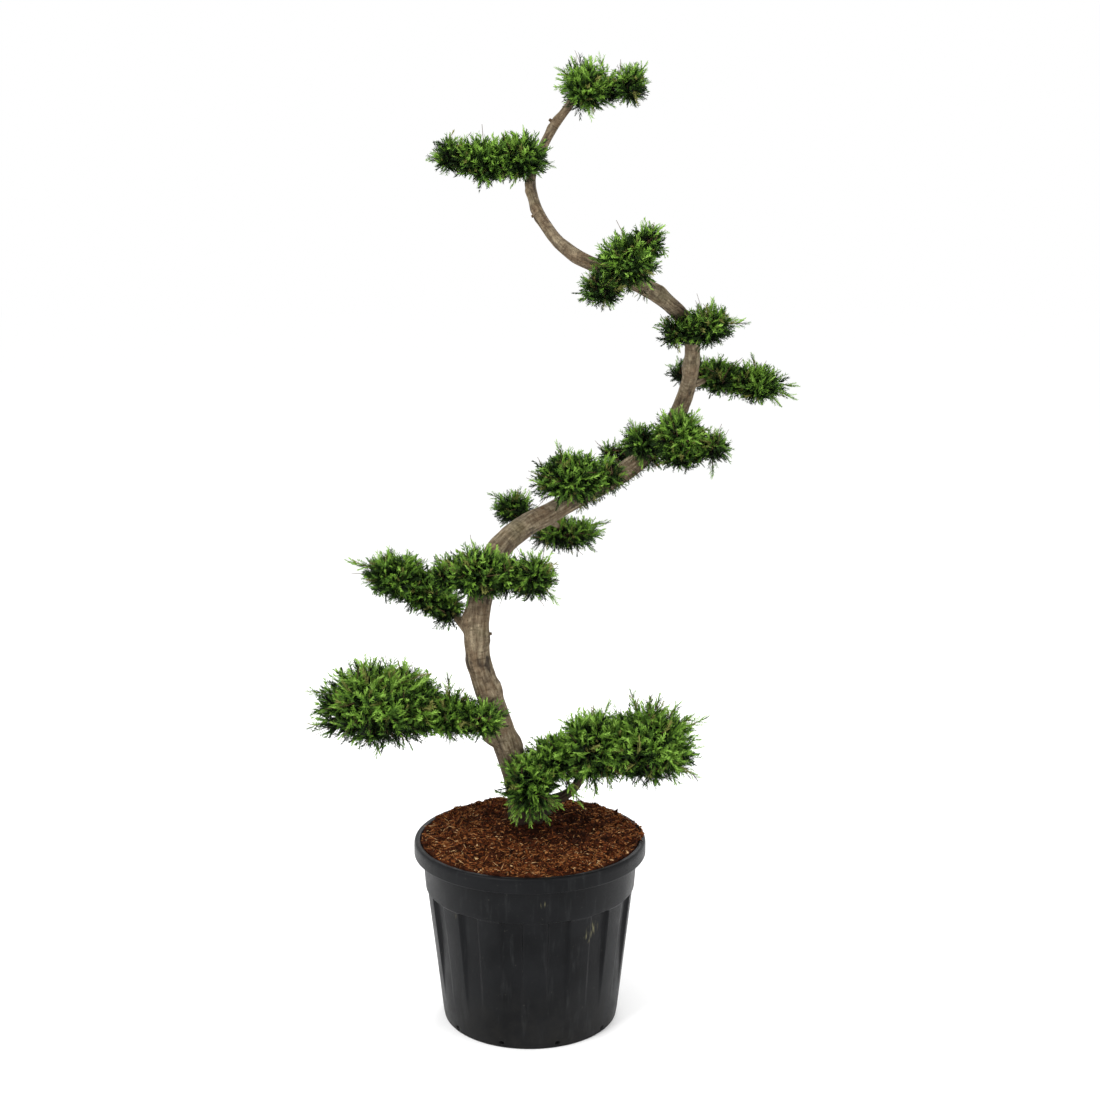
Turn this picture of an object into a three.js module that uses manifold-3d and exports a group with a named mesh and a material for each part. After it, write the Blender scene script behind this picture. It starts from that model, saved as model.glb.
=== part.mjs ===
// A spiral-trained conifer in its nursery pot: a bare trunk that winds up round an upright stake line,
// with clipped pads of foliage along it. Millimetres, +Z up, origin at the centre of the pot's underside.
import * as THREE from "three";
import { mergeVertices } from "three/addons/utils/BufferGeometryUtils.js";
import Module from "manifold-3d";

const wasm = await Module();
wasm.setup();

// ---------------------------------------------------------------- driving sizes
const GAP = 0.3; // clear distance between pieces that touch

// Pot: a round container with a hanging lip, a plain collar and shallow flutes below it.
const POT_HEIGHT = 419;
const LIP_RADIUS = 260;
const LIP_DROP = 34; // the lip hangs this far below the pot's top edge
const LIP_WIDTH = 15; // flat top of the lip, from its outer edge inwards
const LIP_THICKNESS = 6; // of the lip's flat top
const LIP_EDGE = { across: 4, down: 5 }; // worn round of the lip's outer edge
const SKIRT_THICKNESS = 4;
const COLLAR_TOP_RADIUS = 241;
const COLLAR_FOOT_RADIUS = 235;
const COLLAR_FOOT_HEIGHT = 308;
const COLLAR_STEP = 2; // height over which the collar steps in to the wall
const WALL_TOP_RADIUS = 232; // the fluted wall, where it meets the collar
const BASE_RADIUS = 197;
const BASE_EDGE = 4; // worn round of the bottom edge
const WALL = 3; // thinnest wall, behind a flute
const FLOOR = 4;
const FLUTES = 14;
const FLUTE_DEPTH = 6.5; // at the top of the wall, fading out downwards
const FLUTE_FOOT = 50; // height where a flute has faded away
const FLUTE_MIDDLE = 150; // height of one ring between, where a flute is still shallow
const FLUTE_FULL = 248; // height from which a flute has its full depth
// Across a flute, as a share of the step from one to the next, and whether the wall is sunk there.
const FLUTE_ACROSS = [
  [0, 0],
  [0.07, 1],
  [0.43, 1],
  [0.5, 0],
];
const FLUTE_TURN = -9.4; // bearing of the flute nearest the front, from -Y, in degrees
const DRAIN_HOLES = 10;
const DRAIN_RADIUS = 5;
const DRAIN_HEIGHT = 11;
const DRILL = { length: 30, sides: 6 };

// Soil: a plug that fills the pot and is heaped round the trunk.
const SOIL_TOP = 435; // flat patch at the trunk's foot
const SOIL_EDGE = 421; // where the heap meets the lip
const SOIL_PATCH_RADIUS = 62;
const SOIL_HEAP_RADIUS = 261; // distance from the trunk where the heap has run out
const SOIL_LUMP = 3; // height of the lumps, which grow to it over the next distance
const SOIL_LUMP_START = 40;
const SOIL_RINGS = [236, 190, 130, 60];

// Trunk: it winds clockwise, seen from above, round a stake line parallel to Z.
const STAKE_X = 115;
const TRUNK_SIDES = 8;
const TRUNK_STEPS = 60;
const TRUNK_CUTTER = { width: 400, height: 200 }; // what lies under the flat cut at the soil
const ROOT_FLARE = 0.32; // share of the radius that the root ribs add at the soil
const ROOT_RIBS = 5;
const FLARE_HEIGHT = 55;
// Each row: height, reach from the stake line, bearing seen from above (0 is +X), radius.
const TRUNK_WAY = [
  [425, 122, 156, 41],
  [552, 140, 176.5, 33],
  [690, 184, 191, 28],
  [860, 238, 198.5, 26],
  [960, 233, 196, 27],
  [1065, 188, 178, 27.3],
  [1113, 146, 150, 25],
  [1136, 134, 122, 23],
  [1170, 146, 91, 22.5],
  [1228, 196, 57.5, 22],
  [1320, 239, 36, 19.5],
  [1437, 246, 18, 16.5],
  [1560, 222, -8, 16.2],
  [1626, 187, -35, 16.4],
  [1674, 165, -70, 15],
  [1712, 138, -101, 13.2],
  [1771, 110, -137, 11.8],
  [1862, 113, -192.5, 10.2],
  [1945, 120, -229, 9.6],
  [2020, 112, -255, 8.4],
  [2066, 97, -274, 4.8],
];
// Knots where old limbs were taken off: height up the trunk, bearing round the trunk itself, rise.
const KNOTS = [
  [640, 250, 7],
  [905, 200, 8],
  [1122, 250, 7],
  [1600, 60, 5],
  [1640, 80, 5],
  [1955, 300, 4],
];
const KNOT_SPREAD = 22;

// Pads: each is one clipped mass. A lobe is x, y, z, half width, half depth, half height and tilt.
// leaves: height where its limb leaves the trunk; via: points that the limb passes; core: the solid share;
// sprigs: where single twigs stand out of the pad.
const PADS = [
  {
    name: "low_left",
    leaves: 632,
    limb: [13, 6],
    via: [[-92, -62, 668]],
    bough: true,
    core: 0.8,
    sprigs: [[-484, -60, 689], [-331, -90, 633]],
    lobes: [
      [-102, -92, 724, 58, 52, 45, 0],
      [-172, -80, 727, 59, 75, 52, 0],
      [-324, -60, 746, 150, 150, 87, 0],
    ],
  },
  {
    name: "low_right",
    leaves: 470,
    limb: [15, 7],
    via: [
      [42, -6, 500],
      [98, -22, 538],
    ],
    bough: true,
    core: 0.8,
    sprigs: [[394, -20, 702], [221, -30, 767]],
    lobes: [
      [138, -25, 637, 91, 95, 80, 0],
      [262, -20, 638, 111, 120, 87, 0],
      [56, -32, 614, 64, 68, 56, 0],
      [-1, -52, 560, 62, 58, 77, 0],
    ],
  },
  {
    name: "mid_left",
    leaves: 893,
    limb: [14, 6],
    via: [[-150, -60, 930]],
    bough: true,
    core: 0.8,
    sprigs: [[-390, -60, 1062]],
    lobes: [
      [-178, -40, 956, 39, 50, 38, 0],
      [-225, -50, 996, 58, 66, 49, 0],
      [-288, -60, 1035, 82, 84, 52, 0],
    ],
  },
  {
    name: "mid_front",
    leaves: 1000,
    limb: [10, 5],
    via: [],
    core: 0.8,
    sprigs: [[-117, -112, 1115]],
    lobes: [
      [-105, -112, 1048, 87, 76, 58, 0],
      [9, -112, 1040, 51, 56, 51, 0],
    ],
  },
  {
    name: "arch_front",
    leaves: 1160,
    limb: [9, 5],
    via: [],
    core: 0.8,
    lobes: [
      [87, 60, 1228, 97, 78, 61, 0],
      [172, 60, 1237, 37, 42, 35, 0],
    ],
  },
  {
    name: "arch_back",
    leaves: 1130,
    limb: [9, 4],
    via: [],
    core: 0.78,
    sprigs: [[-93, 222, 1164], [181, 222, 1097]],
    lobes: [
      [82, 222, 1076, 102, 78, 37, 0],
      [-38, 222, 1132, 58, 62, 38, 0],
    ],
  },
  {
    name: "arch_tuft",
    leaves: 1212,
    limb: [5, 3],
    via: [],
    core: 0.7,
    lobes: [[198, 213, 1263, 59, 42, 20, 0]],
  },
  {
    name: "turn_front",
    leaves: 1290,
    limb: [9, 5],
    via: [],
    core: 0.78,
    sprigs: [[443, 70, 1273], [221, 90, 1348]],
    lobes: [
      [328, 70, 1324, 68, 74, 50, 0],
      [331, 75, 1281, 59, 60, 35, 0],
      [400, 70, 1297, 48, 50, 33, 0],
      [246, 90, 1304, 49, 52, 39, 0],
    ],
  },
  {
    name: "turn_right",
    leaves: 1420,
    limb: [8, 4],
    via: [],
    core: 0.78,
    sprigs: [[595, 150, 1417], [493, 150, 1488]],
    lobes: [
      [421, 150, 1442, 53, 76, 40, 0],
      [508, 150, 1426, 65, 80, 42, 0],
      [337, 165, 1451, 25, 34, 22, 0],
    ],
  },
  {
    name: "turn_top",
    leaves: 1540,
    limb: [8, 4],
    via: [],
    core: 0.8,
    sprigs: [[455, -90, 1570]],
    lobes: [
      [374, -90, 1568, 56, 64, 43, 0],
      [306, -84, 1557, 35, 42, 33, 0],
    ],
  },
  {
    name: "high_front",
    leaves: 1668,
    limb: [8, 4],
    via: [],
    core: 0.78,
    sprigs: [[241, -202, 1767], [278, -202, 1713]],
    lobes: [
      [196, -202, 1699, 76, 70, 58, 0],
      [239, -202, 1740, 32, 40, 32, 0],
      [149, -202, 1650, 54, 50, 36, 0],
    ],
  },
  {
    name: "high_left",
    leaves: 1868,
    limb: [6, 3],
    via: [],
    core: 0.78,
    sprigs: [[53, 20, 1889], [-209, 20, 1901]],
    lobes: [
      [-14, 20, 1911, 59, 64, 54, 0],
      [-91, 20, 1903, 63, 60, 52, 0],
      [-164, 20, 1915, 40, 46, 36, 0],
    ],
  },
  {
    name: "top",
    leaves: 2025,
    limb: [5, 2.5],
    via: [],
    core: 0.75,
    sprigs: [[149, 100, 2123], [60, 100, 2096]],
    lobes: [
      [119, 100, 2057, 57, 58, 60, 0],
      [213, 100, 2063, 38, 46, 42, 0],
    ],
  },
];
const LIMB_SWELL = 0.35; // how much thicker a limb is where it leaves the trunk, as a share
const LIMB_SWELL_FADE = 9; // how fast that fades along the limb
const LIMB_STEP = 35; // longest stretch between two rings of a limb
const BOUGH_ENDS_AT = 0.97; // share of a pad's space where its bough stops and its stem goes on
const TRUNK_CLEARANCE = 7; // a pad's core stays this far off the trunk
const LARGE_LOBE = 130; // half width over which a lobe's core gets finer faces
const CORE_ROUGHNESS = [0.93, 0.14]; // least share of the core's size, and how much comes on top
const LEAST_SPRAYS = 3; // in each lobe, beside what its surface asks for
const SPRAY_AREA = 21000; // pad surface that one spray stands for, square millimetres
const SPRAY_FORK = 0.4; // depth of the fork that carries a spray, as a share of the core
const SPRAY_ROOT = 0.75; // depth of a spray's root, as a share of the core: well under its flattest faces
const SPRAY_LEAN = 1.3; // how far a spray may lean over the core, as a share of its direction
const SPRAY_WIDTH = 0.74; // widest pair of teeth, as a share of the spray's length
const SPRAY_THICKNESS = 0.06;
const SPRAY_REACH = [0.96, 1.08]; // where a spray's tip stands, as a share of the lobe's half sizes
const SPRAY_CLEARANCE = 2.5; // a spray nearer than this to wood or soil is left out
const PAD_CLEARANCE = 0.04; // share by which its own pad is nearer than any other
const TWIG_RADIUS = 2.6;
const SPRIG_SPRAY = 55; // length of the spray at a sprig's end
const SPRIG_HOLD = 7; // the sprig's twig runs this far into its spray
const LIMB_SIDES = 8;
const WOOD_CLEARANCE = { root: 14, bark: 3 }; // room for the root ribs at the foot, and for knots above
const FIRST_SEED = 101; // of the pads' random numbers, one seed for each
const SEED_STEP = 100;

// ---------------------------------------------------------------- materials
const finish = (color, roughness) => new THREE.MeshStandardMaterial({ color, roughness, metalness: 0 });
const POT_FINISH = finish(0x24282b, 0.5);
const SOIL_FINISH = finish(0x5a3420, 0.95);
const BARK_FINISH = finish(0x75685a, 0.85);
const FOLIAGE_FINISH = finish(0x3f7a2c, 0.6);

// ---------------------------------------------------------------- small tools
const vector = (x, y, z) => new THREE.Vector3(x, y, z);
const radians = THREE.MathUtils.degToRad;
const blend = THREE.MathUtils.lerp;

// Numbers from 0 to 1 that are the same on each run.
function seededNumbers(seed) {
  let state = seed;
  return () => {
    state = (state + 0x6d2b79f5) | 0;
    let mixed = Math.imul(state ^ (state >>> 15), 1 | state);
    mixed = (mixed + Math.imul(mixed ^ (mixed >>> 7), 61 | mixed)) ^ mixed;
    return ((mixed ^ (mixed >>> 14)) >>> 0) / 4294967296;
  };
}

function solidFrom(geometry) {
  const bare = geometry.clone();
  bare.deleteAttribute("normal");
  bare.deleteAttribute("uv");
  const merged = mergeVertices(bare, 1e-4);
  const mesh = new wasm.Mesh({
    numProp: 3,
    vertProperties: new Float32Array(merged.attributes.position.array),
    triVerts: new Uint32Array(merged.index.array),
  });
  return new wasm.Manifold(mesh);
}

function geometryFrom(solid) {
  const mesh = solid.getMesh();
  const geometry = new THREE.BufferGeometry();
  geometry.setAttribute("position", new THREE.BufferAttribute(mesh.vertProperties, 3));
  geometry.setIndex(new THREE.BufferAttribute(mesh.triVerts, 1));
  geometry.computeVertexNormals();
  return geometry;
}

const joined = (solids) => solids.reduce((all, solid) => all.add(solid));

function largestPiece(solid) {
  return solid.decompose().reduce((best, piece) => (piece.volume() > best.volume() ? piece : best));
}

// A closed skin over a stack of rings with equally many points, with a fan over each end.
function skinOver(rings) {
  const sides = rings[0].length;
  const middle = (ring) =>
    ring.reduce((sum, point) => sum.add(point), vector(0, 0, 0)).divideScalar(sides);
  const points = [middle(rings[0]), ...rings.flat(), middle(rings.at(-1))];
  const last = points.length - 1;
  const faces = [];
  for (let side = 0; side < sides; side++) {
    const next = (side + 1) % sides;
    faces.push(0, 1 + next, 1 + side);
    for (let low = 1; low < last - sides; low += sides) {
      const high = low + sides;
      faces.push(low + side, low + next, high + next, low + side, high + next, high + side);
    }
    faces.push(last, last - sides + side, last - sides + next);
  }
  return new THREE.BufferGeometry().setFromPoints(points).setIndex(faces);
}

// ---------------------------------------------------------------- pot and soil
// Radius of the plain wall between the base and the collar.
const wallRadius = (height) =>
  blend(BASE_RADIUS, WALL_TOP_RADIUS, (height - BASE_EDGE) / (COLLAR_FOOT_HEIGHT - BASE_EDGE));

// Depth of a flute at a height: nothing at its foot, full near the collar.
const fluteDepth = (height) =>
  FLUTE_DEPTH * THREE.MathUtils.smoothstep(height, FLUTE_FOOT, FLUTE_FULL);

// Bearings round the pot: four to a flute, its two edges and the two edges of its sunk floor.
function potBearings() {
  const step = 360 / FLUTES;
  const first = -90 + FLUTE_TURN - step / 4;
  const bearings = [];
  for (let flute = 0; flute < FLUTES; flute++)
    for (const [share, sunk] of FLUTE_ACROSS)
      bearings.push({ angle: radians(first + (flute + share) * step), sunk });
  return bearings;
}

// A ring of points at the pot's bearings, drawn in by a depth where a flute's floor runs.
function potRing(radius, depth, heightAt) {
  return potBearings().map(({ angle, sunk }) => {
    const x = (radius - depth * sunk) * Math.cos(angle);
    const y = (radius - depth * sunk) * Math.sin(angle);
    return vector(x, y, heightAt(x, y));
  });
}

function potGeometry() {
  const lipFoot = POT_HEIGHT - LIP_DROP;
  const underLip = POT_HEIGHT - LIP_THICKNESS;
  const wallTop = COLLAR_FOOT_HEIGHT - COLLAR_STEP;
  // Each row: radius, height and how much of the flutes' depth it takes.
  const plain = [
    [BASE_RADIUS - BASE_EDGE, 0, 0],
    [BASE_RADIUS, BASE_EDGE, 0],
    [wallRadius(FLUTE_FOOT), FLUTE_FOOT, 0],
    [wallRadius(FLUTE_MIDDLE), FLUTE_MIDDLE, fluteDepth(FLUTE_MIDDLE)],
    [wallRadius(wallTop), wallTop, FLUTE_DEPTH],
    [COLLAR_FOOT_RADIUS, COLLAR_FOOT_HEIGHT, 0],
    [COLLAR_TOP_RADIUS, underLip, 0],
    [LIP_RADIUS - SKIRT_THICKNESS, underLip, 0],
    [LIP_RADIUS - SKIRT_THICKNESS, lipFoot, 0],
    [LIP_RADIUS, lipFoot, 0],
    [LIP_RADIUS, POT_HEIGHT - LIP_EDGE.down, 0],
    [LIP_RADIUS - LIP_EDGE.across, POT_HEIGHT, 0],
    ...insideRows(0).reverse(),
  ];
  return skinOver(plain.map(([radius, height, depth]) => potRing(radius, depth, () => height)));
}

// The pot's inside from its floor up, or the soil's side where it stands a gap clear of it.
function insideRows(gap) {
  const behindFlutes = (height) => wallRadius(height) - FLUTE_DEPTH - WALL - gap;
  const behindStep = 8; // the inside steps out this far above the collar's foot
  const belowLip = 10; // and again this far below the lip's top
  return [
    [behindFlutes(FLOOR), FLOOR + gap, 0],
    [behindFlutes(COLLAR_FOOT_HEIGHT), COLLAR_FOOT_HEIGHT + gap, 0],
    [COLLAR_FOOT_RADIUS - WALL - gap, COLLAR_FOOT_HEIGHT + behindStep + gap, 0],
    [COLLAR_TOP_RADIUS - WALL - gap, POT_HEIGHT - belowLip + gap, 0],
    [LIP_RADIUS - LIP_WIDTH - gap, POT_HEIGHT + gap, 0],
  ];
}

function drainHoles() {
  const drill = new THREE.CylinderGeometry(DRAIN_RADIUS, DRAIN_RADIUS, DRILL.length, DRILL.sides);
  drill.rotateZ(Math.PI / 2).translate(BASE_RADIUS, 0, DRAIN_HEIGHT);
  const first = 360 / DRAIN_HOLES / 2 - 90;
  return Array.from({ length: DRAIN_HOLES }, (_, hole) =>
    solidFrom(drill.clone().rotateZ(radians(first + (hole * 360) / DRAIN_HOLES))),
  );
}

function soilGeometry(foot) {
  // The heap falls from the flat patch at the trunk to the lip, with low lumps between the two.
  const heapHeight = (x, y) => {
    const off = Math.hypot(x - foot.x, y - foot.y);
    const slope = THREE.MathUtils.smoothstep(off, SOIL_PATCH_RADIUS, SOIL_HEAP_RADIUS);
    const lumps = Math.sin(x * 0.071 + 1) * Math.cos(y * 0.083) + 0.6 * Math.sin((x - y) * 0.13);
    const lumpsFrom = SOIL_PATCH_RADIUS + SOIL_LUMP_START;
    const lumpy = THREE.MathUtils.smoothstep(off, SOIL_PATCH_RADIUS, lumpsFrom);
    return blend(SOIL_TOP, SOIL_EDGE, slope) + SOIL_LUMP * lumps * lumpy;
  };
  const side = insideRows(GAP).map(([radius, height]) => potRing(radius, 0, () => height));
  return skinOver([...side, ...SOIL_RINGS.map((radius) => potRing(radius, 0, heapHeight))]);
}

// ---------------------------------------------------------------- limbs
// A round limb along a curve. radiusAt gives the radius at a share of the length and a bearing round it.
function limbGeometry(curve, steps, sides, radiusAt) {
  const frames = curve.computeFrenetFrames(steps, false);
  const rings = [];
  for (let step = 0; step <= steps; step++) {
    const share = step / steps;
    const centre = curve.getPointAt(share);
    rings.push(
      Array.from({ length: sides }, (_, side) => {
        const angle = (side / sides) * 2 * Math.PI;
        const radius = radiusAt(share, angle, centre);
        return centre
          .clone()
          .addScaledVector(frames.normals[step], radius * Math.cos(angle))
          .addScaledVector(frames.binormals[step], radius * Math.sin(angle));
      }),
    );
  }
  return skinOver(rings);
}

const trunkCurve = new THREE.CatmullRomCurve3(
  TRUNK_WAY.map(([height, reach, bearing]) => {
    const angle = radians(bearing);
    return vector(STAKE_X + reach * Math.cos(angle), reach * Math.sin(angle), height);
  }),
);
trunkCurve.arcLengthDivisions = 400;

// The trunk climbs all the way, so a height names one place on it.
function trunkRadiusAt(height) {
  const above = TRUNK_WAY.findIndex((row) => row[0] >= height);
  if (above <= 0) return TRUNK_WAY.at(above)[3];
  const [low, high] = [TRUNK_WAY[above - 1], TRUNK_WAY[above]];
  return blend(low[3], high[3], (height - low[0]) / (high[0] - low[0]));
}

function trunkGeometry(extra) {
  return limbGeometry(trunkCurve, TRUNK_STEPS, TRUNK_SIDES, (share, angle, centre) => {
    const flare = Math.exp(-(centre.z - SOIL_TOP) / FLARE_HEIGHT);
    const rib = ROOT_FLARE * flare * (0.6 + 0.4 * Math.cos(ROOT_RIBS * angle + 0.8));
    const knots = KNOTS.reduce((sum, [height, bearing, rise]) => {
      const along = (centre.z - height) / KNOT_SPREAD;
      const round = Math.max(0, Math.cos(angle - radians(bearing)));
      return sum + rise * Math.exp(-along * along) * round ** 3;
    }, 0);
    return trunkRadiusAt(centre.z) * (1 + rib) + knots + extra;
  });
}

const TRUNK_SAMPLE_COUNT = 400;
const TRUNK_SAMPLES = Array.from({ length: TRUNK_SAMPLE_COUNT }, (_, index) => {
  const centre = trunkCurve.getPointAt(index / (TRUNK_SAMPLE_COUNT - 1));
  const room = centre.z < SOIL_TOP + FLARE_HEIGHT ? WOOD_CLEARANCE.root : WOOD_CLEARANCE.bark;
  return { centre, radius: trunkRadiusAt(centre.z) + room };
});

const trunkPointAt = (height) =>
  TRUNK_SAMPLES.reduce((best, sample) =>
    Math.abs(sample.centre.z - height) < Math.abs(best.centre.z - height) ? sample : best,
  ).centre;

function trunkSolid(extra) {
  const { width, height } = TRUNK_CUTTER;
  const below = new THREE.BoxGeometry(width, width, height);
  below.translate(0, 0, SOIL_TOP + GAP - height / 2);
  return solidFrom(trunkGeometry(extra)).subtract(solidFrom(below));
}

// ---------------------------------------------------------------- pads
// How far out a point lies in a lobe: 0 at its centre, 1 on its skin.
function shareOfLobe(point, lobe) {
  const local = point.clone().sub(lobe.centre).applyAxisAngle(vector(0, 1, 0), lobe.tilt);
  return local.divide(lobe.half).length();
}

const shareOfPad = (point, pad) => Math.min(...pad.lobes.map((lobe) => shareOfLobe(point, lobe)));

// The point of a lobe in a direction, at a share of its half sizes.
function pointOfLobe(lobe, direction, share) {
  const local = direction.clone().multiply(lobe.half).multiplyScalar(share);
  return local.applyAxisAngle(vector(0, 1, 0), -lobe.tilt).add(lobe.centre);
}

// Surface of an ellipsoid, by Thomsen's rule: a mean of the half sizes' products to this power.
function lobeArea({ half }) {
  const power = 1.6;
  const sum = (half.x * half.y) ** power + (half.x * half.z) ** power + (half.y * half.z) ** power;
  return 4 * Math.PI * (sum / 3) ** (1 / power);
}

function coreGeometry(lobe, share, random) {
  const detail = lobe.half.x > LARGE_LOBE ? 2 : 1;
  const [least, more] = CORE_ROUGHNESS;
  const ball = new THREE.IcosahedronGeometry(1, detail);
  ball.deleteAttribute("normal");
  ball.deleteAttribute("uv");
  const core = mergeVertices(ball, 1e-4);
  const place = core.attributes.position;
  for (let index = 0; index < place.count; index++) {
    const direction = vector(0, 0, 0).fromBufferAttribute(place, index);
    const point = pointOfLobe(lobe, direction, share * (least + more * random()));
    place.setXYZ(index, point.x, point.y, point.z);
  }
  return core;
}

// A three-sided twig that narrows from one point to another.
function twigSolid(from, to, radius) {
  const way = to.clone().sub(from);
  const twig = new THREE.CylinderGeometry(radius * 0.5, radius, way.length(), 3);
  const turn = new THREE.Quaternion().setFromUnitVectors(vector(0, 1, 0), way.clone().normalize());
  twig.applyQuaternion(turn).translate(...from.clone().lerp(to, 0.5).toArray());
  return solidFrom(twig);
}

// A flat spray: a toothed blade from root to tip, drawn up to a low ridge on both sides.
function sprayPoints(root, tip, across, random) {
  const way = tip.clone().sub(root);
  const length = way.length();
  const half = (length * SPRAY_WIDTH) / 2;
  const at = (along, aside) =>
    root.clone().addScaledVector(way, along).addScaledVector(across, aside * half);
  const tooth = () => 0.82 + 0.36 * random();
  const side = (sign) => [
    at(0.44, sign * tooth()),
    at(0.5, sign * 0.42),
    at(0.76, sign * 0.74 * tooth()),
  ];
  const outline = [at(0, 0), ...side(-1), at(1, 0), ...side(1).reverse()];
  const up = way.clone().cross(across).normalize();
  const lift = (length * SPRAY_THICKNESS) / 2;
  const ridges = [at(0.55, 0).addScaledVector(up, lift), at(0.55, 0).addScaledVector(up, -lift)];
  return [...outline, ...ridges];
}

function spraySolid(points) {
  const rim = points.length - 2;
  const faces = [];
  for (let index = 0; index < rim; index++) {
    const next = (index + 1) % rim;
    faces.push(rim, index, next, rim + 1, next, index);
  }
  return solidFrom(new THREE.BufferGeometry().setFromPoints(points).setIndex(faces));
}

// Sprays stand out of a lobe in even directions, each on a twig that forks off the lobe's own branches.
function lobeGrowth(lobe, pad, random, isFree) {
  const count = Math.round(lobeArea(lobe) / SPRAY_AREA) + LEAST_SPRAYS;
  const golden = Math.PI * (3 - Math.sqrt(5));
  const grown = [];
  for (let index = 0; index < count; index++) {
    const rise = 1 - (2 * (index + 0.5)) / count;
    const turn = index * golden + 0.5 * random();
    const flat = Math.sqrt(1 - rise * rise);
    const direction = vector(flat * Math.cos(turn), flat * Math.sin(turn), rise);
    const lean = vector(random() - 0.5, random() - 0.5, random() - 0.4).multiplyScalar(SPRAY_LEAN);
    const aim = direction.clone().add(lean).normalize();
    const tip = pointOfLobe(lobe, aim, blend(...SPRAY_REACH, random()));
    const root = pointOfLobe(lobe, direction, pad.core * SPRAY_ROOT);
    const outward = tip.clone().sub(root).normalize();
    const across = outward.clone().cross(direction).normalize();
    across.applyAxisAngle(outward, random() - 0.5);
    const points = sprayPoints(root, tip, across, random);
    if (!points.slice(1).every((point) => isFree(point))) continue;
    const fork = pointOfLobe(lobe, direction, pad.core * SPRAY_FORK);
    grown.push(twigSolid(lobe.centre, fork, TWIG_RADIUS));
    grown.push(twigSolid(fork, root, TWIG_RADIUS * 0.8));
    grown.push(spraySolid(points));
  }
  return grown;
}

// A sprig stands out of the nearest lobe: a long twig with one spray at its end.
function sprigGrowth(tip, pad, random, isFree) {
  const depths = pad.lobes.map((lobe) => shareOfLobe(tip, lobe));
  const { centre } = pad.lobes[depths.indexOf(Math.min(...depths))];
  const outward = tip.clone().sub(centre).normalize();
  const root = tip.clone().addScaledVector(outward, -SPRIG_SPRAY);
  const across = outward.clone().cross(vector(0, 0, 1)).normalize();
  across.applyAxisAngle(outward, 2 * random() - 1);
  const points = sprayPoints(root, tip, across, random);
  if (!points.slice(1).every((point) => isFree(point))) return [];
  const hold = root.clone().addScaledVector(outward, SPRIG_HOLD);
  return [twigSolid(centre, hold, TWIG_RADIUS), spraySolid(points)];
}

// ---------------------------------------------------------------- the plant
const pads = PADS.map((pad) => ({
  ...pad,
  sprigs: (pad.sprigs ?? []).map((place) => vector(...place)),
  lobes: pad.lobes.map(([x, y, z, wide, deep, high, tilt]) => ({
    centre: vector(x, y, z),
    half: vector(wide, deep, high),
    tilt: radians(tilt),
  })),
}));

// Each limb runs from inside the trunk through its via points to the centre of each lobe in turn.
for (const pad of pads) {
  const start = trunkPointAt(pad.leaves);
  const via = pad.via.map((place) => vector(...place));
  pad.curve = new THREE.CatmullRomCurve3([start, ...via, pad.lobes[0].centre]);
  const [thick, thin] = pad.limb;
  pad.radiusAt = (share) =>
    blend(thick, thin, share) + LIMB_SWELL * thick * Math.exp(-share * LIMB_SWELL_FADE);
  let entry = 0;
  while (entry < 1 && shareOfPad(pad.curve.getPointAt(entry), pad) > BOUGH_ENDS_AT) entry += 0.005;
  pad.entry = entry;
}

// The stretch of a pad's limb between two shares of its length, made extra thicker.
function limbStretch(pad, from, to, extra) {
  const steps = Math.max(3, Math.ceil((pad.curve.getLength() * (to - from)) / LIMB_STEP));
  const points = Array.from({ length: steps + 1 }, (_, step) =>
    pad.curve.getPointAt(blend(from, to, step / steps)),
  );
  const stretch = new THREE.CatmullRomCurve3(points);
  const geometry = limbGeometry(stretch, steps, LIMB_SIDES, (share) =>
    pad.radiusAt(blend(from, to, share)) + extra,
  );
  return solidFrom(geometry);
}

const boughPads = pads.filter((pad) => pad.bough);
const BOUGH_SAMPLE_COUNT = 60;
const boughSamples = boughPads.flatMap((pad) =>
  Array.from({ length: BOUGH_SAMPLE_COUNT }, (_, index) => {
    const share = (index / (BOUGH_SAMPLE_COUNT - 1)) * pad.entry;
    return { centre: pad.curve.getPointAt(share), radius: pad.radiusAt(share) };
  }),
);
const woodSamples = [...TRUNK_SAMPLES, ...boughSamples];

// A spray may stand where its own pad is the nearest one, clear of the wood and of the soil.
function freeFor(pad) {
  const others = pads.filter((other) => other !== pad);
  return (point) => {
    const own = shareOfPad(point, pad);
    if (point.z < SOIL_TOP + SPRAY_CLEARANCE) return false;
    if (others.some((other) => shareOfPad(point, other) < own + PAD_CLEARANCE)) return false;
    return woodSamples.every(
      ({ centre, radius }) => point.distanceTo(centre) > radius + SPRAY_CLEARANCE,
    );
  };
}

const trunkWithGap = trunkSolid(GAP);
const trunkWithSpace = trunkSolid(TRUNK_CLEARANCE);

function boughSolid(pad) {
  return largestPiece(limbStretch(pad, 0, pad.entry, 0).subtract(trunkWithGap));
}

// Whether a skin is still closed once vertices a thousandth of a millimetre apart are one,
// and the rest are rounded to a tenth of that.
function staysClosed(solid) {
  const bare = geometryFrom(solid);
  bare.deleteAttribute("normal");
  const welded = mergeVertices(bare, 1e-3);
  const rounded = Array.from(welded.attributes.position.array, (value) => Math.round(value * 1e4));
  const nameOf = (corner) => rounded.slice(3 * corner, 3 * corner + 3).join();
  const uses = new Map();
  for (let first = 0; first < welded.index.count; first += 3) {
    const corners = Array.from(welded.index.array.subarray(first, first + 3), nameOf);
    if (new Set(corners).size < 3) continue;
    corners.forEach((corner, index) => {
      const edge = [corner, corners[(index + 1) % 3]].sort().join(" ");
      uses.set(edge, (uses.get(edge) ?? 0) + 1);
    });
  }
  return [...uses.values()].every((count) => count === 2);
}

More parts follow.
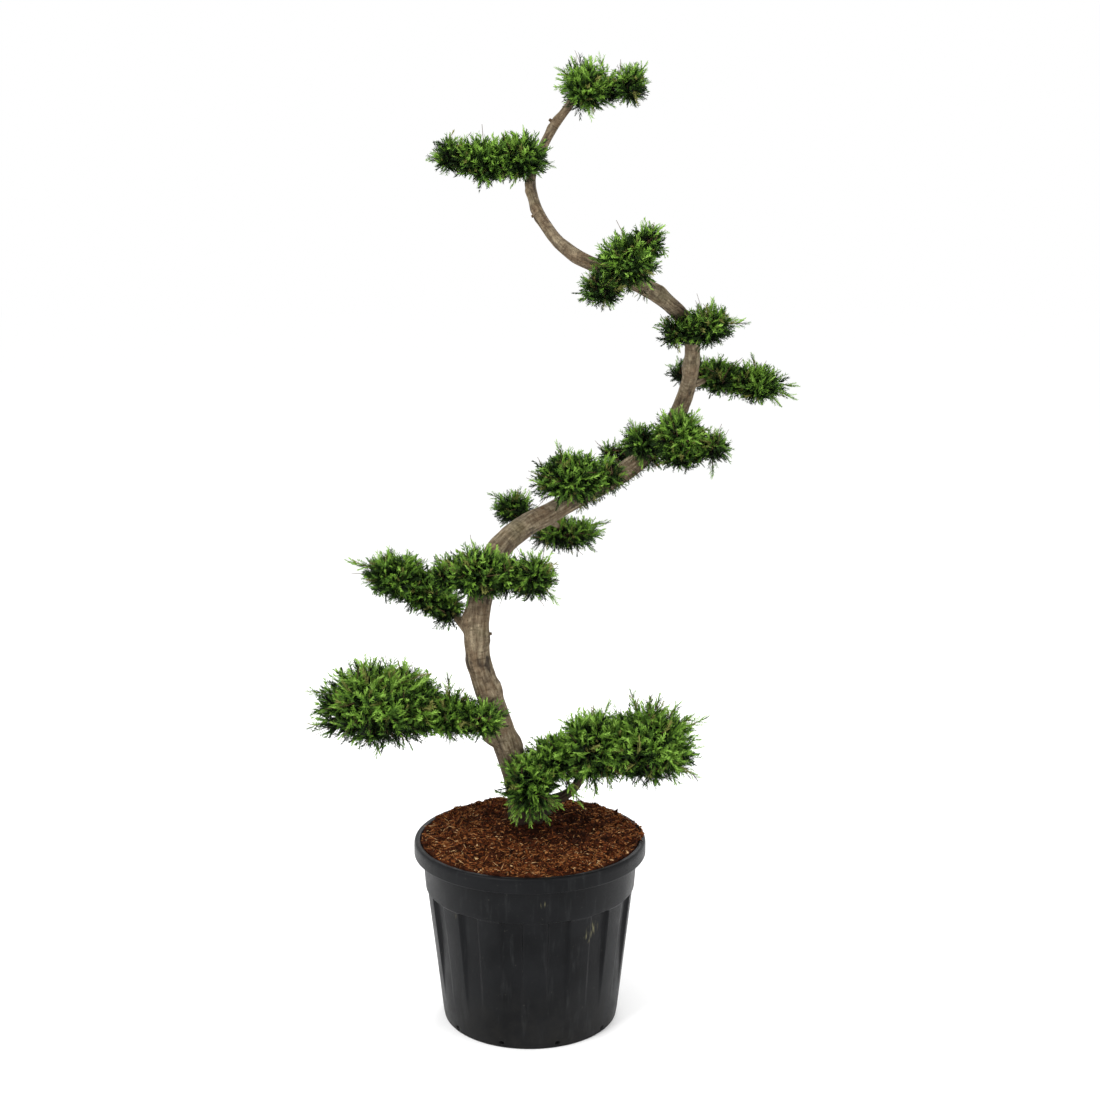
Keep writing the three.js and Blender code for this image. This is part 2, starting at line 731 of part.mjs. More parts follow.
function grownPad(pad, seed) {
  const random = seededNumbers(seed);
  const cores = pad.lobes.map((lobe) => solidFrom(coreGeometry(lobe, pad.core, random)));
  const from = pad.bough ? pad.entry + GAP / pad.curve.getLength() : 0;
  const stems = [limbStretch(pad, from, 1, 0)];
  for (let index = 1; index < pad.lobes.length; index++) {
    const way = new THREE.LineCurve3(pad.lobes[index - 1].centre, pad.lobes[index].centre);
    const thin = pad.limb[1];
    stems.push(solidFrom(limbGeometry(way, 3, LIMB_SIDES, (share) => thin * (1 - 0.5 * share))));
  }
  const isFree = freeFor(pad);
  const growth = pad.lobes.flatMap((lobe) => lobeGrowth(lobe, pad, random, isFree));
  growth.push(...pad.sprigs.flatMap((tip) => sprigGrowth(tip, pad, random, isFree)));
  const core = joined(cores).subtract(trunkWithSpace);
  const whole = joined([core, ...stems, ...growth]);
  const clear = boughPads.reduce(
    (left, other) => left.subtract(limbStretch(other, 0, other.entry, GAP)),
    whole.subtract(trunkWithGap),
  );
  return largestPiece(clear);
}

// A pad whose skin would tear in the rounding grows again from the next seed.
function padSolid(pad, firstSeed) {
  let seed = firstSeed;
  let solid = grownPad(pad, seed);
  while (!staysClosed(solid)) {
    seed += SEED_STEP;
    solid = grownPad(pad, seed);
  }
  return solid;
}

// ---------------------------------------------------------------- assembly
const plant = new THREE.Group();

function addPiece(name, solid, material) {
  const mesh = new THREE.Mesh(geometryFrom(solid), material);
  mesh.name = name;
  plant.add(mesh);
}

const pot = drainHoles().reduce((left, hole) => left.subtract(hole), solidFrom(potGeometry()));
addPiece("pot", pot, POT_FINISH);
addPiece("soil", solidFrom(soilGeometry(trunkPointAt(SOIL_TOP))), SOIL_FINISH);
addPiece("trunk", trunkSolid(0), BARK_FINISH);
for (const pad of boughPads) addPiece("bough_" + pad.name, boughSolid(pad), BARK_FINISH);
pads.forEach((pad, index) =>
  addPiece("pad_" + pad.name, padSolid(pad, FIRST_SEED + index), FOLIAGE_FINISH),
);

export default plant;
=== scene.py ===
# %% [markdown]
# # A spiral-trained conifer in its nursery pot
#
# The plant is a bare trunk that winds upwards, with clipped pads of needles along it, in a black
# pot of bark compost. The CAD model, which is the fixed frame here, holds the true sizes: a faceted
# pot, a plain heap of soil, a smooth trunk, three boughs and thirteen solid pads.
# This lesson dresses that frame. Each surface is a function worked out with numpy, and each
# finish is a small graph of shader nodes.

import bpy
import numpy as np
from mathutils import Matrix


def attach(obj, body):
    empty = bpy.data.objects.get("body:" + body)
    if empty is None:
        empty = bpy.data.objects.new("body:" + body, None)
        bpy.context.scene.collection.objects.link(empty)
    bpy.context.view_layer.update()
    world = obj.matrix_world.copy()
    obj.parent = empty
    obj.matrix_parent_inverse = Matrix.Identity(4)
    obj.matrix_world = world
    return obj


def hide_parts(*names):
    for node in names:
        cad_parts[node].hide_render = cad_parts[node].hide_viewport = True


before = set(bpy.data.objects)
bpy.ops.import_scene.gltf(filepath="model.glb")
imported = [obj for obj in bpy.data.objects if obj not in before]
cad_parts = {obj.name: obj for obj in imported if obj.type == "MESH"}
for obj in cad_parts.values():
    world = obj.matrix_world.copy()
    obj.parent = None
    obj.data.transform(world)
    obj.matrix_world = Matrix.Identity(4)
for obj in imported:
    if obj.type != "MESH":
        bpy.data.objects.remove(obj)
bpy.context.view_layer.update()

# %% [markdown]
# ## The camera, first of all
#
# A tall, narrow subject is usually taken from a few steps away with a short telephoto lens, a
# little above its middle and tipped down. The camera stands 3.6 metres off, level with the upper
# turn of the spiral, and looks down by 11 degrees, so that the soil in the pot shows.

# %% The camera
MM = 0.001
CAMERA_PLACE, CAMERA_DIP = (0.045, -3.58, 1.77), 11
LENS_MM, SENSOR_MM = 54.8, 36

scene = bpy.context.scene
camera = bpy.data.objects.new("camera", bpy.data.cameras.new("camera"))
camera.data.lens = LENS_MM
camera.data.sensor_width = SENSOR_MM
camera.location = CAMERA_PLACE
camera.rotation_euler = (np.radians(90 - CAMERA_DIP), 0, 0)
scene.collection.objects.link(camera)
scene.camera = camera
print("camera at", CAMERA_PLACE, "dips by", CAMERA_DIP, "degrees")

# %% [markdown]
# ## Meshes from whole arrays
#
# A mesh is only a list of points and a list of faces. Filling it face by face is slow, so one
# helper takes whole arrays and hands them to Blender with foreach_set. A second helper closes a
# stack of rings into a skin, which is all that a pot, a trunk or a heap of soil needs: the rings
# are joined by four-sided faces, and each end is drawn together in one middle point.

# %% Helpers that build a mesh
NOISE_ROWS = 64


def add_mesh(name, points, faces, materials, face_slots=None, smooth=True):
    """One object from n points and a list of face arrays, each with three or four corners a row."""
    mesh = bpy.data.meshes.new(name)
    corners = np.concatenate([block.ravel() for block in faces]).astype(np.int32)
    sizes = np.concatenate([np.full(len(block), block.shape[1]) for block in faces])
    starts = np.concatenate([[0], np.cumsum(sizes)[:-1]]).astype(np.int32)
    mesh.vertices.add(len(points))
    mesh.vertices.foreach_set("co", np.asarray(points, np.float32).ravel())
    mesh.loops.add(len(corners))
    mesh.loops.foreach_set("vertex_index", corners)
    mesh.polygons.add(len(sizes))
    mesh.polygons.foreach_set("loop_start", starts)
    for material in materials:
        mesh.materials.append(material)
    if face_slots is not None:
        mesh.polygons.foreach_set("material_index", np.asarray(face_slots, np.int32))
    mesh.polygons.foreach_set("use_smooth", np.full(len(sizes), smooth))
    mesh.update(calc_edges=True)
    piece = bpy.data.objects.new(name, mesh)
    scene.collection.objects.link(piece)
    return piece


def skin(rings):
    """Points and faces of a closed skin over rings[row, column], whose columns run anticlockwise
    round the way that the rows go. The middle points of the two end rings close it."""
    rows, columns = rings.shape[:2]
    row, column = np.meshgrid(np.arange(rows - 1), np.arange(columns), indexing="ij")
    here = row * columns + column
    beside = row * columns + (column + 1) % columns
    quads = np.stack([here, beside, beside + columns, here + columns], -1).reshape(-1, 4)
    points = np.vstack([rings.reshape(-1, 3), rings[0].mean(0), rings[-1].mean(0)])
    side = np.arange(columns)
    after = (side + 1) % columns
    top = (rows - 1) * columns
    first = np.stack([np.full(columns, rows * columns), after, side], -1)
    last = np.stack([np.full(columns, rows * columns + 1), top + side, top + after], -1)
    return points, [quads, first, last]


def dress(piece, slot, *nodes):
    """The piece rides on the plant's one body and stands for CAD nodes, which are hidden. The slot is not
    used.
    """
    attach(piece, "root")
    if nodes:
        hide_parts(*nodes)
    print(piece.name, len(piece.data.polygons), "faces")


def unit(vectors):
    return vectors / np.linalg.norm(vectors, axis=-1, keepdims=True)


def smoothstep(low, high, value):
    """0 below low, 1 above high, and an S-shaped rise 3t^2 - 2t^3 between the two."""
    share = np.clip((value - low) / (high - low), 0, 1)
    return share * share * (3 - 2 * share)


def lattice_noise(across, along, seed, wrap=NOISE_ROWS):
    """Smooth noise from -1 to 1: random numbers on a lattice, blended with smoothstep between
    its nodes. Both coordinates count lattice cells, and the pattern repeats after wrap cells."""
    values = np.random.default_rng(seed).uniform(-1, 1, (NOISE_ROWS, wrap))
    column, row = np.floor(across).astype(int), np.floor(along).astype(int)
    right, up = smoothstep(0, 1, across - column), smoothstep(0, 1, along - row)
    low, high = (
        values[line % NOISE_ROWS, column % wrap] * (1 - right)
        + values[line % NOISE_ROWS, (column + 1) % wrap] * right
        for line in (row, row + 1)
    )
    return low * (1 - up) + high * up


def body_noise(points, cell, start, seed):
    """Noise through a body: one pattern as seen from the front plus another seen from the side."""
    x, y, z = (points / cell).T
    return lattice_noise(x + start, z, seed) + lattice_noise(y + start, z, seed + 1)


print("noise repeats after", NOISE_ROWS, "cells, unless told otherwise")

# %% [markdown]
# ## A shader group for grain
#
# Moulded plastic, bark and compost all have a fine grain, in three scales and three strengths.
# Such an effect is built once, as a node group with named inputs, and then placed in each
# material with its own values. The group puts out a mask from 0 to 1. It reads whatever
# coordinates it is given, so one material may follow the object and another the trunk's length.

# %% The grain group and a helper for graphs
GRAIN_INPUTS = [
    ("Vector", "Vector", None),
    ("Scale", "Float", 100),
    ("Low", "Float", 0.35),
    ("High", "Float", 0.65),
]
GRAIN_DETAIL, GRAIN_ROUGHNESS = 4, 0.6


def make_grain_group():
    group = bpy.data.node_groups.new("grain", "ShaderNodeTree")
    for name, kind, value in GRAIN_INPUTS:
        socket = group.interface.new_socket(name=name, in_out="INPUT", socket_type="NodeSocket" + kind)
        if value is not None:
            socket.default_value = value
    group.interface.new_socket(name="Mask", in_out="OUTPUT", socket_type="NodeSocketFloat")
    inside, outside = group.nodes.new("NodeGroupInput"), group.nodes.new("NodeGroupOutput")
    noise = group.nodes.new("ShaderNodeTexNoise")
    noise.inputs["Detail"].default_value = GRAIN_DETAIL
    noise.inputs["Roughness"].default_value = GRAIN_ROUGHNESS
    spread = group.nodes.new("ShaderNodeMapRange")
    for source, target in [
        (inside.outputs["Vector"], noise.inputs["Vector"]),
        (inside.outputs["Scale"], noise.inputs["Scale"]),
        (noise.outputs["Fac"], spread.inputs["Value"]),
        (inside.outputs["Low"], spread.inputs["From Min"]),
        (inside.outputs["High"], spread.inputs["From Max"]),
        (spread.outputs["Result"], outside.inputs["Mask"]),
    ]:
        group.links.new(source, target)
    return group


class Graph:
    """A material's node graph, with short calls for the nodes that this lesson uses."""

    def __init__(self, name):
        self.material = bpy.data.materials.new(name)
        self.material.use_nodes = True
        self.tree = self.material.node_tree

    def feed(self, socket, value):
        """Links a socket to another one, or sets it to a value."""
        if isinstance(value, bpy.types.NodeSocket):
            self.tree.links.new(value, socket)
        else:
            socket.default_value = value

    def fed(self, node, inputs):
        for name, value in inputs.items():
            self.feed(node.inputs[name.replace("_", " ")], value)
        return node

    def node(self, kind, **inputs):
        """A node of a kind, with its named inputs fed."""
        return self.fed(self.tree.nodes.new(kind), inputs)

    def finished(self, **inputs):
        """The material, with the named inputs of its shader fed."""
        self.fed(self.tree.nodes["Principled BSDF"], inputs)
        return self.material

    def grain(self, vector, scale, low=0.35, high=0.65):
        made = self.tree.nodes.new("ShaderNodeGroup")
        made.node_tree = GRAIN
        return self.fed(made, {"Vector": vector, "Scale": scale, "Low": low, "High": high}).outputs["Mask"]

    def mix(self, mask, first, second):
        """A colour that goes from first to second as the mask goes from 0 to 1."""
        made = self.tree.nodes.new("ShaderNodeMix")
        made.data_type = "RGBA"
        return self.fed(made, {"Factor": mask, "A": first, "B": second}).outputs["Result"]

    def sums(self, operation, first, second):
        made = self.tree.nodes.new("ShaderNodeMath")
        made.operation = operation
        self.feed(made.inputs[0], first)
        self.feed(made.inputs[1], second)
        return made.outputs[0]

    def tinted(self, colour, *tints):
        """A colour under one tint after another, each a mask, its strength and what it turns to."""
        for mask, strength, tone in tints:
            colour = self.mix(self.sums("MULTIPLY", mask, strength), colour, rgb(*tone))
        return colour

    def spread(self, value, low, high, to_low=0, to_high=1):
        ends = {"From_Min": low, "From_Max": high, "To_Min": to_low, "To_Max": to_high}
        return self.node("ShaderNodeMapRange", Value=value, **ends).outputs["Result"]

    def bump(self, height, distance, strength):
        made = self.node("ShaderNodeBump", Height=height, Distance=distance, Strength=strength)
        return made.outputs["Normal"]

    def place(self):
        return self.tree.nodes.new("ShaderNodeTexCoord").outputs["Object"]

    def scaled(self, vector, scale):
        return self.node("ShaderNodeMapping", Vector=vector, Scale=scale).outputs["Vector"]


def rgb(red, green, blue):
    """A linear base colour from the 0 to 255 values of a colour picker."""
    share = np.array([red, green, blue]) / 255
    linear = np.where(share <= 0.04045, share / 12.92, ((share + 0.055) / 1.055) ** 2.4)
    return (*linear.tolist(), 1.0)


GRAIN = make_grain_group()
print("the grain group has", len(GRAIN.nodes), "nodes")

# %% [markdown]
# ## The pot's shape
#
# The pot is blow-moulded in one piece: a wall with fourteen shallow flutes, a plain collar, a
# lip that hangs down outside it, and a ring of drain holes at the foot. Modelling it by hand would
# mean loops of edges. It is simpler as a function: a profile of radius against height is turned
# round the axis, and the radius is then drawn in where a flute or a hole lies.

# %% The pot's profile
POT_HEIGHT = 419 * MM
# Each row: radius, height, size of the bend there, and 1 on the fluted wall.
POT_CORNERS = np.array([
    [20, 0, 1, 0],
    [150, 0, 4, 0],
    [158, 3, 4, 0],
    [176, 3, 4, 0],
    [182, 0, 4, 0],
    [196, 0, 4, 0],
    [199, 17, 3, 1],
    [231.7, 305, 2, 1],
    [235, 308.5, 2.2, 0],
    [241, 384, 4, 0],
    [251, 388, 4, 0],
    [255.5, 385, 2, 0],
    [260, 386, 2.4, 0],
    [260, 412, 7, 0],
    [257, 419, 5, 0],
    [247, 419, 2.5, 0],
    [243, 412, 4, 0],
    [236, 352, 4, 0],
    [20, 352, 1, 0],
]) * [MM, MM, MM, 1]


def bent_profile(corners, bends=6):
    """Rows of radius, height and flute share, with each corner turned in a smooth bend: a
    quadratic curve that leaves the straight at the bend's size before the corner."""
    place, size = corners[:, [0, 1, 3]], corners[1:-1, 2:3]
    middle = place[1:-1]
    back = place[:-2] - middle
    ahead = place[2:] - middle
    back *= np.minimum(size / np.linalg.norm(back[:, :2], axis=1, keepdims=True), 0.48)
    ahead *= np.minimum(size / np.linalg.norm(ahead[:, :2], axis=1, keepdims=True), 0.48)
    share = np.linspace(0, 1, bends)[None, :, None]
    curve = (middle + back)[:, None] * (1 - share) ** 2 + (middle + ahead)[:, None] * share**2
    curve += middle[:, None] * 2 * share * (1 - share)
    return np.vstack([place[:1], curve.reshape(-1, 3), place[-1:]])


def row_step(height):
    """The most that two rows may lie apart, which is less at the height of the drain holes."""
    return 1.6 * MM if 3 * MM < height < 20 * MM else 11 * MM


def filled_in(rows):
    """The same profile with more rows on its long straights."""
    parts = []
    for start, end in zip(rows[:-1], rows[1:]):
        length = np.hypot(*(end - start)[:2])
        count = max(1, int(np.ceil(length / row_step((start + end)[1] / 2))))
        parts.append(start + (end - start) * np.arange(count)[:, None] / count)
    return np.vstack([*parts, rows[-1:]])


profile = filled_in(bent_profile(POT_CORNERS))
print("profile rows:", len(profile))

# %% The pot's surface
FLUTES, FLUTE_DEPTH, FLUTE_TURN, FLUTE_EDGE = 14, 8 * MM, -9.4, 0.05
FLUTE_FOOT, FLUTE_TOP = 50 * MM, 248 * MM
DRAIN_HOLES, DRAIN_RADIUS, DRAIN_HEIGHT, DRAIN_DEPTH = 10, 5.4 * MM, 11 * MM, 10 * MM
WALL_FOOT_RADIUS, UNDERSIDE_RADIUS, COLLAR_RADIUS = 197 * MM, 195 * MM, 238 * MM
RING_BEARING, RING_HEIGHT, RING_HALF_WIDTH, RING_HALF_HEIGHT = -81.6, 352 * MM, 9 * MM, 21 * MM
RING_RISE, RING_SOFTNESS = 2 * MM, 0.25
OUTER_SHARE = 0.7  # of the profile's rows, which lie outside the pot
POT_COLUMNS = 36 * FLUTES


def pot_rings(profile):
    """The profile turned round the axis. On the wall the radius loses the flutes' depth, which is
    a wave of soft-edged steps round the pot that fades out downwards, and the drain holes' depth,
    which falls off sharply round each hole's middle. The collar gains a small raised ring."""
    bearing = np.linspace(-np.pi, np.pi, POT_COLUMNS, endpoint=False)[None, :]
    radius, height, fluted = (profile[:, index, None] for index in range(3))
    outside = np.arange(len(profile))[:, None] < len(profile) * OUTER_SHARE
    step = 2 * np.pi / FLUTES
    first = np.radians(-90 + FLUTE_TURN) - step / 4
    share = ((bearing - first) / step) % 1
    sunk = smoothstep(0, FLUTE_EDGE, share) - smoothstep(0.5 - FLUTE_EDGE, 0.5, share)
    depth = FLUTE_DEPTH * smoothstep(FLUTE_FOOT, FLUTE_TOP, height) * fluted * sunk
    hole_step = 2 * np.pi / DRAIN_HOLES
    off = (bearing + np.pi / 2 - hole_step / 2) / hole_step
    aside = (off - np.round(off)) * hole_step * WALL_FOOT_RADIUS
    off_hole = np.hypot(aside, height - DRAIN_HEIGHT)
    hole = (1 - smoothstep(DRAIN_RADIUS - 1 * MM, DRAIN_RADIUS, off_hole)) * (radius > UNDERSIDE_RADIUS)
    depth = depth + DRAIN_DEPTH * hole * outside
    ring_aside = (bearing - np.radians(RING_BEARING)) * COLLAR_RADIUS / RING_HALF_WIDTH
    off_ring = np.hypot(ring_aside, (height - RING_HEIGHT) / RING_HALF_HEIGHT)
    raised = RING_RISE * np.exp(-(((off_ring - 1) / RING_SOFTNESS) ** 2)) * outside
    wobble = 0.5 * MM * np.sin(2 * bearing + 0.7) * smoothstep(0.1, 0.4, height)
    reach = radius - depth + raised + wobble
    return np.stack(np.broadcast_arrays(reach * np.cos(bearing), reach * np.sin(bearing), height), -1)


pot_points, pot_faces = skin(pot_rings(profile))
print("pot:", len(pot_points), "points")

# %% [markdown]
# ## The pot's plastic
#
# Recycled black plastic isn't one black. It is a dark bluish grey with a soft sheen, cloudy where
# it has been handled, dusty towards its foot and scuffed where pots rub against each other. Base
# colour and roughness both follow slow noise, a fine bump gives the skin of the mould, and a
# few pale streaks are noise stretched upright and cut off high, so that only its peaks show.

# %% The plastic's graph
# Middle and reach of each patch of pale scuffs, in metres.
POT_SCUFFS = [
    (0.139, -0.180, 0.270, 0.024),
    (0.126, -0.190, 0.254, 0.013),
    (0.031, -0.236, 0.352, 0.010),
    (-0.150, -0.155, 0.300, 0.018),
    (0.090, 0.200, 0.210, 0.030),
]


def make_pot_plastic():
    graph = Graph("pot_plastic")
    place = graph.place()
    upright = graph.scaled(place, (1, 1, 0.12))
    height = graph.node("ShaderNodeSeparateXYZ", Vector=place).outputs["Z"]
    cloud = graph.grain(place, 9)
    streak = graph.grain(upright, 70, 0.56, 0.74)
    speck = graph.grain(place, 160, 0.66, 0.74)
    low = graph.spread(height, 0.16, 0, 0, 0.6)
    dust = graph.sums("MULTIPLY", low, graph.grain(place, 30, 0.3, 0.75))
    colour = graph.tinted(
        graph.mix(cloud, rgb(5, 6, 8), rgb(17, 18, 20)),
        (streak, 0.14, (74, 76, 76)),
        (speck, 0.25, (96, 93, 84)),
        (dust, 0.3, (62, 59, 52)),
    )
    for *middle, reach in POT_SCUFFS:
        off = graph.node("ShaderNodeVectorMath", Vector=place)
        off.operation = "DISTANCE"
        off.inputs[1].default_value = middle
        near = graph.spread(off.outputs["Value"], reach, reach * 0.3)
        mark = graph.sums("MULTIPLY", near, graph.grain(upright, 260, 0.5, 0.66))
        colour = graph.tinted(colour, (mark, 0.6, (138, 134, 100)))
    worn = graph.sums("ADD", graph.spread(cloud, 0, 1, 0.3, 0.46), graph.sums("MULTIPLY", dust, 0.3))
    fine = graph.bump(graph.grain(place, 900, 0.3, 0.7), 0.0003, 0.5)
    return graph.finished(Base_Color=colour, Roughness=worn, Normal=fine, Specular_IOR_Level=0.11)


dress(add_mesh("pot_shell", pot_points, pot_faces, [make_pot_plastic()]), "pot", "pot")

# %% [markdown]
# ## The compost heap
#
# The compost is shredded bark: a lumpy heap that rises to the trunk, with coarse chips and
# fibres lying on it. One grid makes the heap, lumps and all. Relief alone would look like
# clay from near by, so thousands of loose chips and fibres are laid over it as meshes of a few faces.

# %% The heap's height
TRUNK_FOOT = np.array([3.0, 49.0]) * MM
SOIL_TOP, SOIL_EDGE, SOIL_PATCH, SOIL_BED = 435 * MM, 420.5 * MM, 62 * MM, 354 * MM
HEAP_RADIUS, HEAP_ROWS, HEAP_COLUMNS = 244.4 * MM, 110, 420
HEAP_REACH = 261 * MM
COLLAR_RISE = 15 * MM
GRIT = [(3.4, 22 * MM, 11), (3.6, 9 * MM, 12), (1.4, 4 * MM, 13)]  # height in mm, cell and seed


def heap_height(x, y):
    """A heap that falls smoothly from the trunk's foot to the lip, with a collar of compost drawn
    up against the bark, plus two waves of low lumps, plus lattice noise at 22, 9 and 4 mm."""
    off = np.hypot(x - TRUNK_FOOT[0], y - TRUNK_FOOT[1])
    slope = smoothstep(SOIL_PATCH, HEAP_REACH, off)
    collar = COLLAR_RISE * (1 - smoothstep(0.6 * SOIL_PATCH, 1.4 * SOIL_PATCH, off))
    lumps = np.sin(x * 71 + 1) * np.cos(y * 83) + 0.6 * np.sin((x - y) * 130)
    lumpy = smoothstep(SOIL_PATCH, SOIL_PATCH + 40 * MM, off)
    grit = sum(rise * lattice_noise(x / cell, y / cell, seed) for rise, cell, seed in GRIT)
    return SOIL_TOP + (SOIL_EDGE - SOIL_TOP) * slope + collar + (3 * lumps * lumpy + grit) * MM


heap_radius = np.linspace(HEAP_RADIUS, 3 * MM, HEAP_ROWS)[:, None]
heap_bearing = np.linspace(0, 2 * np.pi, HEAP_COLUMNS, endpoint=False)
heap_x, heap_y = heap_radius * np.cos(heap_bearing), heap_radius * np.sin(heap_bearing)
heap = np.stack([heap_x, heap_y, heap_height(heap_x, heap_y)], -1)
heap[0, :, 2] = np.minimum(heap[0, :, 2], POT_HEIGHT + 0.5 * MM)
bed = heap[:1] * [0.955, 0.955, 0]
bed[..., 2] = SOIL_BED
print("heap from", heap[..., 2].min(), "to", heap[..., 2].max())


# %% The compost's finishes
def make_compost():
    graph = Graph("compost")
    place = graph.place()
    fine = graph.grain(place, 420)
    colour = graph.tinted(
        graph.mix(graph.grain(place, 90, 0.38, 0.62), rgb(36, 17, 9), rgb(88, 46, 25)),
        (fine, 0.55, (24, 11, 6)),
        (graph.grain(place, 14, 0.4, 0.62), 0.35, (46, 22, 12)),
    )
    bump = graph.bump(fine, 0.002, 0.8)
    return graph.finished(Base_Color=colour, Roughness=0.95, Normal=bump, Specular_IOR_Level=0.05)


def make_plain(name, colour, roughness, specular):
    """A plain finish for a piece of thousands of small faces, dealt out face by face."""
    return Graph(name).finished(Base_Color=colour, Roughness=roughness, Specular_IOR_Level=specular)


dress(add_mesh("compost_heap", *skin(np.concatenate([bed, heap])), [make_compost()]), "soil", "soil")

# %% [markdown]
# ## Many small things at once
#
# Chips, fibres, twigs and needles are one shape each, stamped thousands of times. Blender could
# scatter instances, but an exported part keeps only real meshes. So a stamp is a small array of
# points, and all its copies come from one sum: each copy's place, plus the stamp's x, y and z
# along three axes of the copy's own.


# %% The stamp helper
def axes_along(ways, rolls):
    """Three unit axes for each way: two across it, turned by a roll, and the way itself."""
    along = unit(ways)
    steep = np.abs(along[:, 2:3]) > 0.9
    side = unit(np.cross(np.where(steep, [[1.0, 0.0, 0.0]], [[0.0, 0.0, 1.0]]), along))
    other = np.cross(along, side)
    turn, lean = np.cos(rolls)[:, None], np.sin(rolls)[:, None]
    return side * turn + other * lean, other * turn - side * lean, along


def stamped(stamp, faces, places, ways, rolls, widths, lengths):
    """Copies of a stamp: place + x width A + y width B + z length C, for the copy's axes A, B
    and C. Returns all points and faces as two arrays."""
    points = places[:, None]
    for column, (axis, size) in enumerate(zip(axes_along(ways, rolls), (widths, widths, lengths))):
        points = points + stamp[None, :, column, None] * size[:, None, None] * axis[:, None]
    shift = (np.arange(len(places)) * len(stamp))[:, None, None]
    return points.reshape(-1, 3), (faces[None] + shift).reshape(-1, faces.shape[1])


def double_cone(sides):
    """The faces between a ring of points, the tip after them, and the foot after the tip."""
    ring = np.arange(sides)
    after = (ring + 1) % sides
    upper = np.stack([ring, after, np.full(sides, sides)], -1)
    lower = np.stack([after, ring, np.full(sides, sides + 1)], -1)
    return np.vstack([upper, lower])


def chip_stamp(seed):
    """A lopsided chip: the six points of an octahedron, each pushed in or out a little."""
    rng = np.random.default_rng(seed)
    points = np.array([[1, 0, 0], [0, 1, 0], [-1, 0, 0], [0, -1, 0], [0, 0, 1], [0, 0, -1.0]])
    return points * rng.uniform(0.6, 1.25, (6, 1)) + rng.uniform(-0.25, 0.25, (6, 3))


def fibre_stamp():
    """A thin spindle on a ring of three points."""
    angle = np.arange(3) * 2 * np.pi / 3
    ring = np.stack([np.cos(angle), np.sin(angle), np.full(3, 0.1)], -1)
    return np.vstack([ring, [[0, 0, 1], [0, 0, -1]]])


def joined(parts):
    """Several blocks of points, each with a list of face arrays, as one."""
    shifts = np.cumsum([0] + [len(points) for points, _ in parts[:-1]])
    blocks = [block + shift for (_, faces), shift in zip(parts, shifts) for block in faces]
    return np.vstack([points for points, _ in parts]), blocks


def joined_stamps(parts):
    """Several blocks of stamped points and faces as one."""
    return joined([(points, [faces]) for points, faces in parts])


print("a chip has", len(double_cone(4)), "faces and a fibre has", len(double_cone(3)))

# %% Chips and fibres on the heap
CHIPS, FIBRES, SPILT, CHIP_KINDS = 6000, 7000, 130, 4
CHIP_MM, CHIP_LEAST, CHIP_MOST, CHIP_FLATNESS = 2.5, 1.0, 5.5, 0.55
FIBRE_MM, FIBRE_LEAST, FIBRE_MOST = 6.5, 2.5, 17
# Middle and reach of the painted shadow of the pads round the trunk's foot, the cell of the damp patches,
# and the dark chips' number.
PAINTED_SHADOW_MIDDLE, PAINTED_SHADOW_REACH, DAMP_CELL, DARK = (0.03, 0.05), 0.17, 0.035, 1
# Each row: name, colour, and the chance of it among chips and among fibres.
COMPOST_COLOURS = [
    ("chip_red_brown", (116, 66, 34), 0.34, 0.36),
    ("chip_dark", (30, 14, 8), 0.3, 0.22),
    ("chip_tan", (150, 102, 60), 0.13, 0.22),
    ("chip_pale", (190, 156, 112), 0.03, 0.05),
    ("chip_russet", (80, 38, 20), 0.2, 0.15),
]
compost_colours = [make_plain(name, rgb(*tone), 0.95, 0.04) for name, tone, _, _ in COMPOST_COLOURS]
CHIP_CHANCES, FIBRE_CHANCES = ([row[column] for row in COMPOST_COLOURS] for column in (2, 3))


def heap_places(count, rng):
    """Even random places on the heap, from the trunk's foot to the lip."""
    radius = (HEAP_RADIUS - 2 * MM) * np.sqrt(rng.uniform(0, 1, count))
    bearing = rng.uniform(0, 2 * np.pi, count)
    x, y = radius * np.cos(bearing), radius * np.sin(bearing)
    return np.stack([x, y, heap_height(x, y)], -1)


def dealt_browns(places, chances, rng):
    """A colour for each piece by chance. Some are dark: nearly all of them at the trunk's foot and
    fewer further out, as painted shadow of the pads above, and those in a few damp patches where slow noise
    is high."""
    dealt = rng.choice(len(chances), len(places), p=chances)
    x, y = places[:, 0], places[:, 1]
    # Painted shadow round the trunk's foot, plus damp patches where slow noise is high.
    shadow_and_damp = 0.8 * smoothstep(PAINTED_SHADOW_REACH, 0.35 * PAINTED_SHADOW_REACH, np.hypot(x - PAINTED_SHADOW_MIDDLE[0], y - PAINTED_SHADOW_MIDDLE[1]))
    shadow_and_damp = shadow_and_damp + 0.45 * smoothstep(0.2, 0.7, lattice_noise(x / DAMP_CELL, y / DAMP_CELL, 17))
    return np.where(rng.uniform(0, 1, len(places)) < shadow_and_damp, DARK, dealt)


